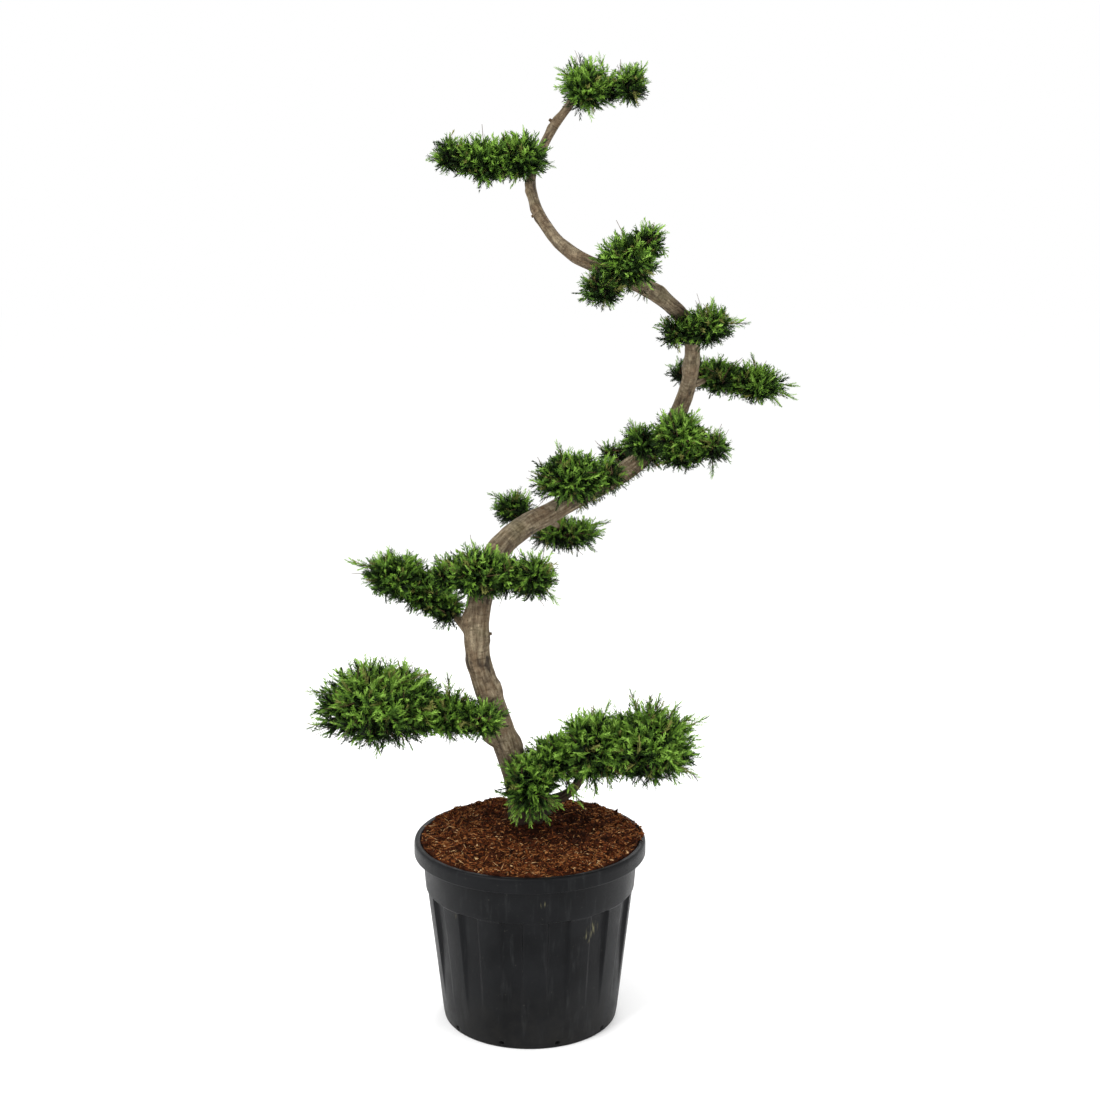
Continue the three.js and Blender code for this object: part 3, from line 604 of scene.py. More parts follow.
def add_chips(chips, rng):
    """Chips that lie flat on the heap, and a few spilt on the lip at the right."""
    bearing = np.radians(rng.normal(6, 9, SPILT))
    reach = rng.uniform(240, 256, SPILT) * MM
    spilt = np.stack([reach * np.cos(bearing), reach * np.sin(bearing), np.full(SPILT, 421 * MM)], -1)
    spilt[:, 2] += rng.uniform(0, 4, SPILT) * MM * smoothstep(256, 240, reach / MM)
    places = np.vstack([chips, spilt])
    size = rng.lognormal(np.log(CHIP_MM), 0.5, len(places)).clip(CHIP_LEAST, CHIP_MOST) * MM
    flat = unit(rng.normal(0, 0.3, (len(places), 3)) + [0, 0, 1])
    faces = double_cone(4)
    parts, slots = [], []
    for seed, group in enumerate(np.array_split(rng.permutation(len(places)), CHIP_KINDS)):
        rolls = rng.uniform(0, 2 * np.pi, len(group))
        wide, thick = size[group], size[group] * CHIP_FLATNESS
        parts.append(stamped(chip_stamp(seed), faces, places[group], flat[group], rolls, wide, thick))
        slots.append(np.repeat(dealt_browns(places[group], CHIP_CHANCES, rng), len(faces)))
    points, blocks = joined_stamps(parts)
    return add_mesh("compost_chips", points, blocks, compost_colours, np.concatenate(slots), False)


def add_fibres(fibres, rng):
    """Fibres that lie any way along the heap."""
    ways = unit(rng.normal(0, 1, (FIBRES, 3)) * [1, 1, 0.28])
    length = rng.lognormal(np.log(FIBRE_MM), 0.45, FIBRES).clip(FIBRE_LEAST, FIBRE_MOST) * MM
    width = rng.uniform(0.5, 1.3, FIBRES) * MM
    rolls = rng.uniform(0, 6.28, FIBRES)
    faces = double_cone(3)
    points, all_faces = stamped(fibre_stamp(), faces, fibres + [0, 0, 0.8 * MM], ways, rolls, width, length)
    slots = np.repeat(dealt_browns(fibres, FIBRE_CHANCES, rng), len(faces))
    return add_mesh("compost_fibres", points, [all_faces], compost_colours, slots, False)


rng = np.random.default_rng(21)
chip_places, fibre_places = heap_places(CHIPS, rng), heap_places(FIBRES, rng)
dress(add_chips(chip_places, rng), "soil")
dress(add_fibres(fibre_places, rng), "soil")

# %% [markdown]
# ## The ways of the trunk and the limbs
#
# The trunk winds once and a quarter round an upright line. The CAD model states it as rows of height,
# reach from that line, bearing and radius, with a smooth curve through them. The same rows and
# the same curve are written again here, because bark and twigs have to follow them closely. A ring
# of points needs two directions across the curve: these are carried along it, turned no more than
# the curve itself turns, so that the bark doesn't twist.

# %% The trunk's way
STAKE_X, TRUNK_POINTS, CURVE_STEPS = 115, 760, 60
TRUNK_ROWS = np.array([
    [425, 122, 156, 41],
    [552, 140, 176.5, 33],
    [690, 184, 191, 28],
    [860, 238, 198.5, 26],
    [960, 233, 196, 27],
    [1065, 188, 178, 27.3],
    [1113, 146, 150, 25],
    [1136, 134, 122, 23],
    [1170, 146, 91, 22.5],
    [1228, 196, 57.5, 22],
    [1320, 239, 36, 19.5],
    [1437, 246, 18, 16.5],
    [1560, 222, -8, 16.2],
    [1626, 187, -35, 16.4],
    [1674, 165, -70, 15],
    [1712, 138, -101, 13.2],
    [1771, 110, -137, 11.8],
    [1862, 113, -192.5, 10.2],
    [1945, 120, -229, 9.6],
    [2020, 112, -255, 8.4],
    [2066, 97, -274, 4.8],
])


def smooth_way(corners, count):
    """A centripetal Catmull-Rom curve: each stretch between two corners is a cubic that takes its
    end slopes from the corners beside them, weighed by the root of the distances. It is then read
    off at even steps of its length."""
    lead = np.vstack([2 * corners[0] - corners[1], corners, 2 * corners[-1] - corners[-2]])
    gap = np.sqrt(np.linalg.norm(np.diff(lead, axis=0), axis=1))[:, None]
    place = np.linspace(0, len(corners) - 1, CURVE_STEPS * (len(corners) - 1) + 1)
    at = np.minimum(place.astype(int), len(corners) - 2)
    share = (place - at)[:, None]
    before, start, end, after = (lead[at + step] for step in range(4))
    d0, d1, d2 = gap[at], gap[at + 1], gap[at + 2]
    leave = ((start - before) / d0 - (end - before) / (d0 + d1) + (end - start) / d1) * d1
    arrive = ((end - start) / d1 - (after - start) / (d1 + d2) + (after - end) / d2) * d1
    fine = start + leave * share + (3 * (end - start) - 2 * leave - arrive) * share**2
    fine += (2 * (start - end) + leave + arrive) * share**3
    length = length_along(fine)
    even = np.linspace(0, length[-1], count)
    return np.stack([np.interp(even, length, fine[:, axis]) for axis in range(3)], -1)


def length_along(way):
    """The distance along a way at each of its points."""
    return np.concatenate([[0], np.cumsum(np.linalg.norm(np.diff(way, axis=0), axis=1))])


def carried_frames(way):
    """Two directions across a curve at each of its points. The first pair is square to the start,
    and each later pair is the one before it, turned by the angle between the two tangents."""
    tangent = unit(np.gradient(way, axis=0))
    start = np.eye(3)[np.argmin(np.abs(tangent[0]))]
    across = [np.cross(tangent[0], unit(np.cross(tangent[0], start)))]
    for way_here in tangent[1:]:
        last = across[-1] - way_here * (across[-1] @ way_here)
        across.append(last / np.linalg.norm(last))
    across = np.array(across)
    return across, np.cross(tangent, across)


stake_reach, stake_bearing = TRUNK_ROWS[:, 1], np.radians(TRUNK_ROWS[:, 2])
corner_x = STAKE_X + stake_reach * np.cos(stake_bearing)
trunk_corners = np.stack([corner_x, stake_reach * np.sin(stake_bearing), TRUNK_ROWS[:, 0]], -1) * MM
trunk_way = smooth_way(trunk_corners, TRUNK_POINTS)
trunk_radius = np.interp(trunk_way[:, 2], TRUNK_ROWS[:, 0] * MM, TRUNK_ROWS[:, 3] * MM)
print("the trunk is", round(length_along(trunk_way)[-1], 3), "m long")

# %% [markdown]
# ## Bark
#
# This conifer's bark is a skin of long fibres: narrow ridges run up the trunk, split by thin dark
# cracks, with swellings where old limbs were taken off. The ridges are noise on a lattice wrapped
# round the limb, with cells several times as long as they are wide. The cracks are where a second
# noise passes through zero. The same numbers are kept on the mesh as an attribute, so that the
# colour can be darker in the cracks: painted shade where the relief is deep.

# %% A limb covered in bark
TRUNK_COLUMNS, LIMB_COLUMNS = 64, 32
ROOT_FLARE, ROOT_RIBS, FLARE_HEIGHT = 0.32, 5, 55 * MM
BARK_DEPTH, BARK_SHARE = 0.9 * MM, 0.045  # the relief's height, and what it gains by the radius
# Each row: height, bearing and rise of a knot. Bearing 0 is the left outline and 90 the front.
KNOTS = [
    [635, 175, 5], [700, 60, 6], [762, 105, 8], [775, 172, 6], [845, 20, 4],
    [896, 168, 6], [930, 15, 9], [1010, 280, 7], [1122, 60, 6], [1180, 240, 6],
    [1330, 110, 4], [1469, 15, 5], [1560, 250, 4], [1636, 182, 7], [1715, 150, 4],
    [1795, 0, 5], [1846, 5, 4], [1900, 200, 3], [1978, 0, 5],
]
KNOT_SPREAD, KNOT_DIMPLE = 16 * MM, 0.7


def bark_relief(angle, along, seed):
    """Height of the bark over a smooth limb, from about -1 to 1. angle and along are a bearing
    and a distance in metres, and a slow twist lets the fibres wind round a little."""
    turn = angle / (2 * np.pi) + 0.4 * along
    ridges = lattice_noise(turn * 22, along / 0.042, seed, 22)
    fibres = lattice_noise(turn * 44, along / 0.019, seed + 1, 44)
    plates = lattice_noise(turn * 7, along / 0.045, seed + 2, 7)
    crack = np.clip(1 - 7 * np.abs(lattice_noise(turn * 12, along / 0.06, seed + 3, 12)), 0, 1)
    split = np.clip(1.4 * lattice_noise(turn * 5, along / 0.05, seed + 4, 5), 0, 1)
    return 0.35 * ridges + 0.35 * fibres + 0.35 * plates - 0.9 * crack * split


def keep_on_points(piece, name, kind, field, values):
    attribute = piece.data.attributes.new(name, kind, "POINT")
    attribute.data.foreach_set(field, values.astype(np.float32).ravel())


def bark_limb(name, way, radius, columns, seed, swell=None):
    """A tube along a way whose radius is the limb's own, plus a swelling, plus the bark."""
    across, other = carried_frames(way)
    along = length_along(way)[:, None]
    angle = np.linspace(0, 2 * np.pi, columns, endpoint=False)[None, :]
    smooth = radius[:, None] * np.ones_like(angle)
    if swell is not None:
        smooth = smooth + swell(angle)
    relief = bark_relief(angle, along, seed)
    reach = smooth + relief * (BARK_DEPTH + BARK_SHARE * smooth)
    ring = across[:, None] * np.cos(angle)[..., None] + other[:, None] * np.sin(angle)[..., None]
    piece = add_mesh(name, *skin(way[:, None] + ring * reach[..., None]), [BARK])
    follow = np.stack(np.broadcast_arrays(np.cos(angle) * smooth, np.sin(angle) * smooth, along), -1)
    follow = np.vstack([follow.reshape(-1, 3), follow[0].mean(0), follow[-1].mean(0)])
    keep_on_points(piece, "bark_way", "FLOAT_VECTOR", "vector", follow)
    keep_on_points(piece, "bark_height", "FLOAT", "value", np.append(relief.ravel(), [0, 0]))
    return piece


def nearest_on_trunk(heights):
    """The numbers of the trunk's points at heights in millimetres."""
    return np.argmin(np.abs(trunk_way[:, 2, None] - heights * MM), axis=0)


def trunk_side(index, bearing):
    """The way out of the trunk at a point: bearing 0 is its left outline, 90 its front."""
    tangent = unit(np.gradient(trunk_way, axis=0))[index]
    left = unit(np.cross(tangent, [0, 1, 0]))
    front = np.cross(tangent, left)
    bearing = np.radians(bearing)[..., None]
    return left * np.cos(bearing) + front * np.sin(bearing)


def trunk_swelling(angle):
    """Root ribs that die out up the trunk, and the knots."""
    across, other = carried_frames(trunk_way)
    height = trunk_way[:, 2:3]
    flare = np.exp(-(height - SOIL_TOP) / FLARE_HEIGHT)
    rib = ROOT_FLARE * flare * (0.6 + 0.4 * np.cos(ROOT_RIBS * angle + 0.8))
    swelling = trunk_radius[:, None] * rib
    for knot_height, knot_bearing, rise in KNOTS:
        up = (height - knot_height * MM) / KNOT_SPREAD
        side = trunk_side(nearest_on_trunk(knot_height)[0], np.array(knot_bearing))
        facing = (across @ side)[:, None] * np.cos(angle) + (other @ side)[:, None] * np.sin(angle)
        facing = np.maximum(0, facing)
        dimple = np.exp(-(up * up) * 8) * facing**24
        swelling = swelling + rise * MM * (np.exp(-up * up) * facing**3 - KNOT_DIMPLE * dimple)
    return swelling


# %% The bark's graph
def make_bark():
    graph = Graph("bark")
    follow, height = (graph.tree.nodes.new("ShaderNodeAttribute") for _ in range(2))
    follow.attribute_name, height.attribute_name = "bark_way", "bark_height"
    follow = follow.outputs["Vector"]
    long, flat = graph.scaled(follow, (1, 1, 0.16)), graph.scaled(follow, (0.3, 0.3, 1))
    strips, threads = graph.grain(long, 170), graph.grain(long, 700)
    patches = graph.grain(follow, 20, 0.4, 0.62)
    specks = graph.grain(follow, 150, 0.6, 0.68)
    plates = graph.grain(follow, 75, 0.42, 0.56)
    green = graph.grain(follow, 11, 0.52, 0.68)
    bands = graph.grain(flat, 170, 0.5, 0.64)
    # Painted shade: darker where the bark's relief sinks into its cracks.
    low = graph.spread(height.outputs["Fac"], -0.1, -0.75)
    base = graph.node("ShaderNodeSeparateXYZ", Vector=graph.place()).outputs["Z"]
    # Darker towards the trunk's foot: compost stain near the soil, and painted shadow of the pads above it
    # higher up.
    foot = graph.spread(base, SOIL_TOP + 0.22, SOIL_TOP + 0.03)
    colour = graph.mix(strips, rgb(94, 80, 59), rgb(176, 162, 134))
    colour = graph.tinted(colour, (patches, 0.5, (118, 92, 68)))
    colour = graph.mix(graph.spread(plates, 0, 1, 0.6, 1), rgb(60, 48, 35), colour)
    colour = graph.tinted(
        colour,
        (green, 0.4, (88, 88, 54)),
        (threads, 0.4, (72, 58, 42)),
        (bands, 0.5, (62, 49, 34)),
        (specks, 0.6, (46, 35, 26)),
        # painted shade in the cracks
        (low, 0.85, (36, 27, 20)),
        # compost stain at the foot and painted shadow of the pads above
        (foot, 0.96, (36, 20, 12)),
    )
    bump = graph.bump(graph.sums("ADD", graph.sums("ADD", strips, threads), plates), 0.0016, 0.9)
    return graph.finished(Base_Color=colour, Roughness=0.85, Normal=bump, Specular_IOR_Level=0.25)


BARK = make_bark()
trunk = bark_limb("bark_trunk", trunk_way, trunk_radius, TRUNK_COLUMNS, 31, trunk_swelling)
dress(trunk, "bark", "trunk")

# %% [markdown]
# ## The pads and their boughs
#
# A pad is a clipped cloud: one to four rounded lobes on a limb that leaves the trunk. They are the
# CAD model's own lobes, plus three small ones that close gaps between them. A point's share of a lobe
# is 0 at the middle and 1 on its skin, and the smallest share over all lobes says how deep in the
# pad it lies.

# %% The pads' sizes
# Each pad: height where its limb leaves the trunk, the limb's two radii, the share that is dense
# inside, and lobes of x, y, z, half width, half depth and half height, all in millimetres.
PADS = {
    "low_left": (632, 13, 6, 0.73, [
        [-102, -92, 724, 58, 52, 45], [-172, -80, 727, 59, 75, 52], [-324, -60, 746, 150, 150, 87]]),
    "low_right": (470, 15, 7, 0.73, [
        [138, -25, 637, 91, 95, 80], [262, -20, 638, 111, 120, 87],
        [56, -32, 614, 64, 68, 56], [-1, -52, 560, 62, 58, 77]]),
    "mid_left": (893, 14, 6, 0.73, [
        [-178, -40, 956, 39, 50, 38], [-225, -50, 996, 58, 66, 49], [-288, -60, 1035, 82, 84, 52]]),
    "mid_front": (1000, 10, 5, 0.73, [
        [-105, -112, 1048, 87, 76, 58], [9, -112, 1040, 51, 56, 51], [-170, -104, 1046, 41, 46, 40]]),
    "arch_front": (1160, 9, 5, 0.73, [[87, 60, 1228, 97, 78, 61], [172, 60, 1237, 37, 42, 35]]),
    "arch_back": (1130, 9, 4, 0.7, [[82, 222, 1076, 102, 78, 37], [-38, 222, 1132, 58, 62, 38]]),
    "arch_tuft": (1212, 5, 3, 0.6, [[198, 213, 1263, 59, 42, 20]]),
    "turn_front": (1290, 9, 5, 0.7, [
        [328, 70, 1324, 68, 74, 50], [331, 75, 1281, 59, 60, 35],
        [400, 70, 1297, 48, 50, 33], [246, 90, 1304, 49, 52, 39]]),
    "turn_right": (1420, 8, 4, 0.7, [
        [421, 150, 1442, 53, 76, 40], [508, 150, 1426, 65, 80, 42],
        [337, 165, 1451, 25, 34, 22], [380, 156, 1446, 38, 50, 31]]),
    "turn_top": (1540, 8, 4, 0.73, [[374, -90, 1568, 56, 64, 43], [306, -84, 1557, 35, 42, 33]]),
    "high_front": (1668, 8, 4, 0.7, [
        [196, -202, 1699, 76, 70, 58], [239, -202, 1740, 32, 40, 32], [149, -202, 1650, 54, 50, 36]]),
    "high_left": (1868, 6, 3, 0.7, [
        [-14, 20, 1911, 59, 64, 54], [-91, 20, 1903, 63, 60, 52], [-164, 20, 1915, 40, 46, 36]]),
    "top": (2025, 5, 2.5, 0.66, [
        [119, 100, 2057, 57, 58, 60], [213, 100, 2063, 38, 46, 42], [170, 100, 2055, 27, 34, 26]]),
}
# Points on the way of each bough that shows, in millimetres.
BOUGH_WAYS = {
    "low_left": [[-92, -62, 668]],
    "low_right": [[42, -6, 500], [98, -22, 538]],
    "mid_left": [[-150, -60, 930]],
}
OPEN_PADS = ("top", "arch_back")  # whose lobes have no growth between them
LIMB_POINTS, BOUGH_ENDS_AT, BOUGH_OVERLAP = 200, 0.97, 14
AREA_POWER = 1.6
lobes_of = {name: np.array(pad[-1], float) for name, pad in PADS.items()}


def share_of_pad(points, lobes):
    """How far out points lie in a pad: the least over its lobes of their distance from the lobe's
    middle, once each axis is divided by its half size."""
    shares = [np.linalg.norm((points - lobe[:3] * MM) / (lobe[3:] * MM), axis=-1) for lobe in lobes]
    return np.min(shares, axis=0)


def place_in_lobe(lobe, ways, share):
    """The points of a lobe in given directions, at a share of its half sizes."""
    return ways * lobe[3:] * MM * np.reshape(share, (-1, 1)) + lobe[:3] * MM


def lobe_area(lobe):
    """Surface of an ellipsoid by the mean of its three products to the power 1.6."""
    a, b, c = lobe[3:] * MM
    mean = ((a * b) ** AREA_POWER + (a * c) ** AREA_POWER + (b * c) ** AREA_POWER) / 3
    return 4 * np.pi * mean ** (1 / AREA_POWER)


def limb_of(name):
    """The limb from inside the trunk to the middle of the first lobe, with its radii and the
    number of the point at which it enters the pad."""
    leaves, thick, thin, _, _ = PADS[name]
    start = trunk_way[nearest_on_trunk(leaves)]
    via = np.reshape(BOUGH_WAYS.get(name, []), (-1, 3)) * MM
    way = smooth_way(np.vstack([start.reshape(1, 3), via, lobes_of[name][:1, :3] * MM]), LIMB_POINTS)
    share = np.linspace(0, 1, LIMB_POINTS)
    radius = (thick + (thin - thick) * share + 0.35 * thick * np.exp(-share * 9)) * MM
    outside = share_of_pad(way, lobes_of[name]) > BOUGH_ENDS_AT
    entry = int(np.argmin(outside)) if not outside.all() else len(way)
    return way, radius, entry


limbs = {name: limb_of(name) for name in PADS}
total_area = sum(lobe_area(lobe) for lobes in lobes_of.values() for lobe in lobes)
print("the pads have", round(total_area, 3), "square metres of skin")

# %% The boughs
ROOT_ROOM, BARK_ROOM = 14 * MM, 2.5 * MM
wood_places = [trunk_way]
wood_radii = [trunk_radius + np.where(trunk_way[:, 2] < SOIL_TOP + FLARE_HEIGHT, ROOT_ROOM, BARK_ROOM)]
for number, (name, (way, radius, entry)) in enumerate(limbs.items()):
    reach = min(entry + BOUGH_OVERLAP, len(way))
    bough = bark_limb("bark_bough_" + name, way[:reach], radius[:reach], LIMB_COLUMNS, 41 + number)
    shows = name in BOUGH_WAYS
    dress(bough, "bark", *(["bough_" + name] if shows else []))
    if shows:
        wood_places.append(way[:entry])
        wood_radii.append(radius[:entry])
wood_places, wood_radii = np.vstack(wood_places), np.concatenate(wood_radii)

# %% [markdown]
# ## How a pad grows
#
# Under its skin of needles a clipped pad is a bundle of branches. By the CAD model's rule a stem
# runs to the middle of each lobe, branches leave it in evenly spread directions, and each ends in
# a spray. Here the same rule goes on: more branches, each with a tuft of short shoots round
# its outer end, and each shoot with fifteen needles. Evenly spread directions come from the
# golden angle, which turns each next one by 137.5 degrees.

# %% Shoots: stamps of fifteen needles
GOLDEN = np.pi * (3 - np.sqrt(5))
SHOOT_NEEDLES, SHOOT_KINDS, STEM_RADIUS = 15, 8, 0.02


def shoot_stamp(seed):
    """A shoot one unit long, like a small feather: a three-sided stem that bends as the square of
    its height, and needles as slim kites, folded along the middle, that leave it by 15 to 54
    degrees, to the left and the right in turn. Also returns which faces are young."""
    rng = np.random.default_rng(seed)
    order = np.arange(SHOOT_NEEDLES)
    height = 0.05 + 0.87 * (order + rng.uniform(0, 0.8, SHOOT_NEEDLES)) / SHOOT_NEEDLES
    bearing = order * np.pi + rng.normal(0, 0.55, SHOOT_NEEDLES)
    spread = np.radians(rng.uniform(28, 54, SHOOT_NEEDLES) * (1 - 0.45 * height))
    length = rng.uniform(0.27, 0.42, SHOOT_NEEDLES) * (1.1 - 0.4 * height)
    half = rng.uniform(0.03, 0.044, SHOOT_NEEDLES)
    bend = rng.uniform(-0.3, 0.3, 2)
    foot = np.stack([bend[0] * height**2, bend[1] * height**2, height], -1)
    way = np.stack([np.sin(spread) * np.cos(bearing), np.sin(spread) * np.sin(bearing), np.cos(spread)], -1)
    aside = np.stack([-np.sin(bearing), np.cos(bearing), 0 * bearing], -1) * half[:, None]
    belly = foot + way * 0.45 * length[:, None] + np.cross(way, aside) * 0.7
    kites = np.stack([foot, belly - aside, foot + way * length[:, None], belly + aside], 1)
    at = order[:, None] * 4
    needles = np.vstack([at + [0, 1, 2], at + [0, 2, 3]])
    angle = np.arange(3) * 2 * np.pi / 3
    ring = np.stack([STEM_RADIUS * np.cos(angle), STEM_RADIUS * np.sin(angle), 0 * angle], -1)
    stem = double_cone(3)[:3] + 4 * SHOOT_NEEDLES
    young = np.concatenate([height > 0.5, height > 0.5, np.zeros(3, bool)])
    return np.vstack([kites.reshape(-1, 3), ring, [[*bend, 1.0]]]), np.vstack([needles, stem]), young


SHOOTS = [shoot_stamp(seed) for seed in range(SHOOT_KINDS)]
print("a shoot has", len(SHOOTS[0][1]), "faces")

# %% Twigs: a stamp that tapers
TWIG_RING = np.arange(4) * np.pi / 2
TWIG_STAMP = np.vstack([
    np.stack([wide * np.cos(TWIG_RING), wide * np.sin(TWIG_RING), 0 * TWIG_RING + height], -1)
    for wide, height in [(1, 0), (0.6, 1)]
])
TWIG_FACES = np.array([
    [0, 1, 5], [0, 5, 4], [1, 2, 6], [1, 6, 5], [2, 3, 7], [2, 7, 6], [3, 0, 4], [3, 4, 7],
    [4, 5, 6], [4, 6, 7], [0, 2, 1], [0, 3, 2],
])


def twigs_between(starts, ends, radii):
    """Four-sided twigs that narrow from each start to each end."""
    ways = ends - starts
    lengths = np.linalg.norm(ways, axis=1)
    return stamped(TWIG_STAMP, TWIG_FACES, starts, ways, np.zeros(len(ways)), radii, lengths)


print("a twig has", len(TWIG_FACES), "faces")

# %% The sprigs that stand out of the clipped skin
# Tips in millimetres, by pad.
SPRIGS = {
    "low_left": [[-484, -60, 689], [-331, -90, 633], [-176, -70, 815], [-482, -70, 776]],
    "low_right": [
        [394, -20, 702], [221, -30, 767], [330, -40, 742], [376, -20, 560],
        [286, -26, 756], [176, -34, 744], [360, -50, 716], [262, -70, 764],
        [98, -88, 540], [72, -92, 518], [124, -84, 556], [-36, -92, 492],
        [-32, -100, 484], [2, -108, 482], [42, -106, 488], [-46, -78, 490],
        [116, -74, 514], [146, -60, 534], [182, -50, 545],
    ],
    "mid_left": [[-390, -60, 1062], [-122, -80, 946], [-130, -66, 988]],
    "mid_front": [[-117, -112, 1115], [62, -112, 980]],
    "arch_front": [[60, 60, 1302]],
    "arch_back": [[-93, 222, 1164], [181, 222, 1097], [150, 222, 1030]],
    "turn_front": [[443, 70, 1273], [221, 90, 1348], [251, 100, 1231], [404, 70, 1225]],
    "turn_right": [[595, 150, 1417], [493, 150, 1488], [560, 150, 1372], [592, 150, 1388]],
    "turn_top": [[455, -90, 1570]],
    "high_front": [[241, -202, 1767], [278, -202, 1713], [170, -202, 1608], [276, -202, 1756]],
    "high_left": [[53, 20, 1889], [-209, 20, 1901]],
    "top": [[149, 100, 2123], [60, 100, 2096], [250, 100, 2105]],
}
SPRIG_HOLD, SPRIG_SHOOTS, SPRIG_RADIUS, SPRIG_END = 66 * MM, 14, 1.5 * MM, 0.012
print("sprigs:", sum(len(tips) for tips in SPRIGS.values()))

# %% Where a pad's tufts and shoots stand
TUFT_AREA, BRANCH_AREA = 0.00069, 0.011  # skin for each tuft and each branch, in square metres
SHOOTS_A_TUFT, SHOOT_STRETCH = 10, 0.056  # and the most of a twig that they stand on
SHOOT_LENGTH = (32 * MM, 54 * MM)
SHOOT_ROOM, ROOMY_HEIGHT = 34 * MM, 58  # from a tuft to the skin, less in a lobe that is higher
SKIN_INSET, SKIN_WAVE, WAVE_CELL = (3 * MM, 17 * MM), 9 * MM, 42 * MM
TWIG_RADII = [3.4, 2.0, 1.4, 0.8]  # of branches, twigs, their ends and the bare ones
BARE_SHARE = 0.09  # of the tufts, with a dry twig that stands out
SOIL_CLEARANCE, BLOCK = 6 * MM, 4000


def spread_ways(count, rng):
    """Even directions over a ball: equal steps of height, each turned on by the golden angle."""
    order = np.arange(count)
    rise = 1 - (2 * order + 1) / count
    turn = order * GOLDEN + 0.5 * rng.uniform(0, 1, count)
    flat = np.sqrt(1 - rise * rise)
    return np.stack([flat * np.cos(turn), flat * np.sin(turn), rise], -1)


def clear_of_wood(points, spare):
    """Whether points are further than spare from the bark of the trunk and the boughs."""
    clear = np.ones(len(points), bool)
    for start in range(0, len(points), BLOCK):
        block = points[start:start + BLOCK]
        off = np.linalg.norm(block[:, None] - wood_places[None, ::2], axis=2) - wood_radii[None, ::2]
        clear[start:start + BLOCK] = off.min(1) > spare
    return clear


def own_space(points, name):
    """Whether points lie nearer to their own pad than to any other, and above the soil."""
    own = share_of_pad(points, lobes_of[name])
    free = points[:, 2] > SOIL_TOP + SOIL_CLEARANCE
    for other, lobes in lobes_of.items():
        if other != name:
            free &= share_of_pad(points, lobes) > own
    return free


def lobe_twigs(lobe, core, ways, roots, ends, outward, rng):
    """Starts, ends and radii of a lobe's wood: branches from its middle to a few forks, twigs
    from the nearest fork to each root and on to its end, and some bare twigs beyond."""
    branches = spread_ways(int(round(lobe_area(lobe) / BRANCH_AREA)) + 4, rng)
    forks = place_in_lobe(lobe, branches, core * 0.5)
    nearest = np.argmax(ways @ branches.T, axis=1)
    middle = np.tile(lobe[:3] * MM, (len(forks), 1))
    bare = rng.uniform(0, 1, len(ends)) < BARE_SHARE
    bare_ways = unit(outward + rng.normal(0, 0.35, outward.shape))
    bare_ends = ends + bare_ways * rng.uniform(0.034, 0.06, (len(ends), 1))
    starts = np.vstack([middle, forks[nearest], roots, ends[bare]])
    radii = np.repeat(TWIG_RADII, [len(forks), len(ends), len(ends), bare.sum()]) * MM
    return starts, np.vstack([forks, roots, ends, bare_ends[bare]]), radii


def lobe_shoots(lobe, roots, ends, outward, wave, rng):
    """Feet, ways, lengths and painted light of a lobe's shoots. They stand round the outer part of each
    twig and lean more the further back they stand; their painted light is lighter high in the lobe and
    darker low down and further back."""
    tufts = len(ends)
    count = tufts * SHOOTS_A_TUFT
    tuft = np.repeat(np.arange(tufts), SHOOTS_A_TUFT)
    order = np.tile(np.arange(SHOOTS_A_TUFT), tufts)
    back = order / (SHOOTS_A_TUFT - 1)
    stretch = np.linalg.norm(ends - roots, axis=1)
    along = outward[tuft]
    first, second, _ = axes_along(along, rng.uniform(0, 6.28, tufts)[tuft])
    turn = (order * GOLDEN + rng.uniform(-0.4, 0.4, count))[:, None]
    lean = np.radians(28 + 52 * np.sqrt(back) + rng.uniform(-24, 24, count))[:, None]
    sideways = first * np.cos(turn) + second * np.sin(turn)
    tangle = rng.normal(0, 0.3, (count, 3)) + [0, 0, 0.15]
    ways = unit(along * np.cos(lean) + sideways * np.sin(lean) + tangle)
    ways[:, 2] *= np.where(ways[:, 2] < 0, 0.6, 1)
    feet = ends[tuft] - along * (back * np.minimum(stretch[tuft], SHOOT_STRETCH))[:, None]
    lengths = rng.uniform(*SHOOT_LENGTH, count) * (1 - 0.25 * back)
    lengths *= np.minimum(0.84, 0.36 + lobe[5] / 115)
    # A random tone for each tuft, plus painted shade in the skin's hollows and painted light on its bumps.
    tone_and_hollow_shade = (rng.normal(0, 0.6, tufts) + 0.35 * wave)[tuft]
    # Painted light and shade: lighter high in the lobe, darker on its underside and further back in a tuft.
    rise = (feet[:, 2] - lobe[2] * MM) / (lobe[5] * MM)
    light = 2.0 + 1.6 * rise + 1.1 * np.minimum(rise + 0.15, 0) - 2.1 * back + tone_and_hollow_shade
    return feet, ways, lengths, light


def grow_lobe(lobe, core, rng):
    """All twigs and shoots of one lobe. Each tuft has its twig's root inside the dense part and
    its end near the skin, which slow noise makes uneven."""
    tufts = int(round(lobe_area(lobe) / TUFT_AREA)) + 6
    ways = spread_ways(tufts, rng)
    skin_points = place_in_lobe(lobe, unit(ways + rng.normal(0, 0.2, ways.shape)), 1)
    wave = body_noise(skin_points, WAVE_CELL, 30, 61)
    roots = place_in_lobe(lobe, ways, core * rng.uniform(0.5, 0.7, tufts))
    outward = unit(skin_points - roots + [0, 0, 0.012])
    room = SHOOT_ROOM * min(1, ROOMY_HEIGHT / lobe[5])
    inset = room + rng.uniform(*SKIN_INSET, tufts) - SKIN_WAVE * wave
    inset = np.minimum(inset, 0.6 * np.linalg.norm(skin_points - lobe[:3] * MM, axis=1))
    ends = skin_points - outward * inset[:, None]
    twigs = lobe_twigs(lobe, core, ways, roots, ends, outward, rng)
    return *twigs, *lobe_shoots(lobe, roots, ends, outward, wave, rng)


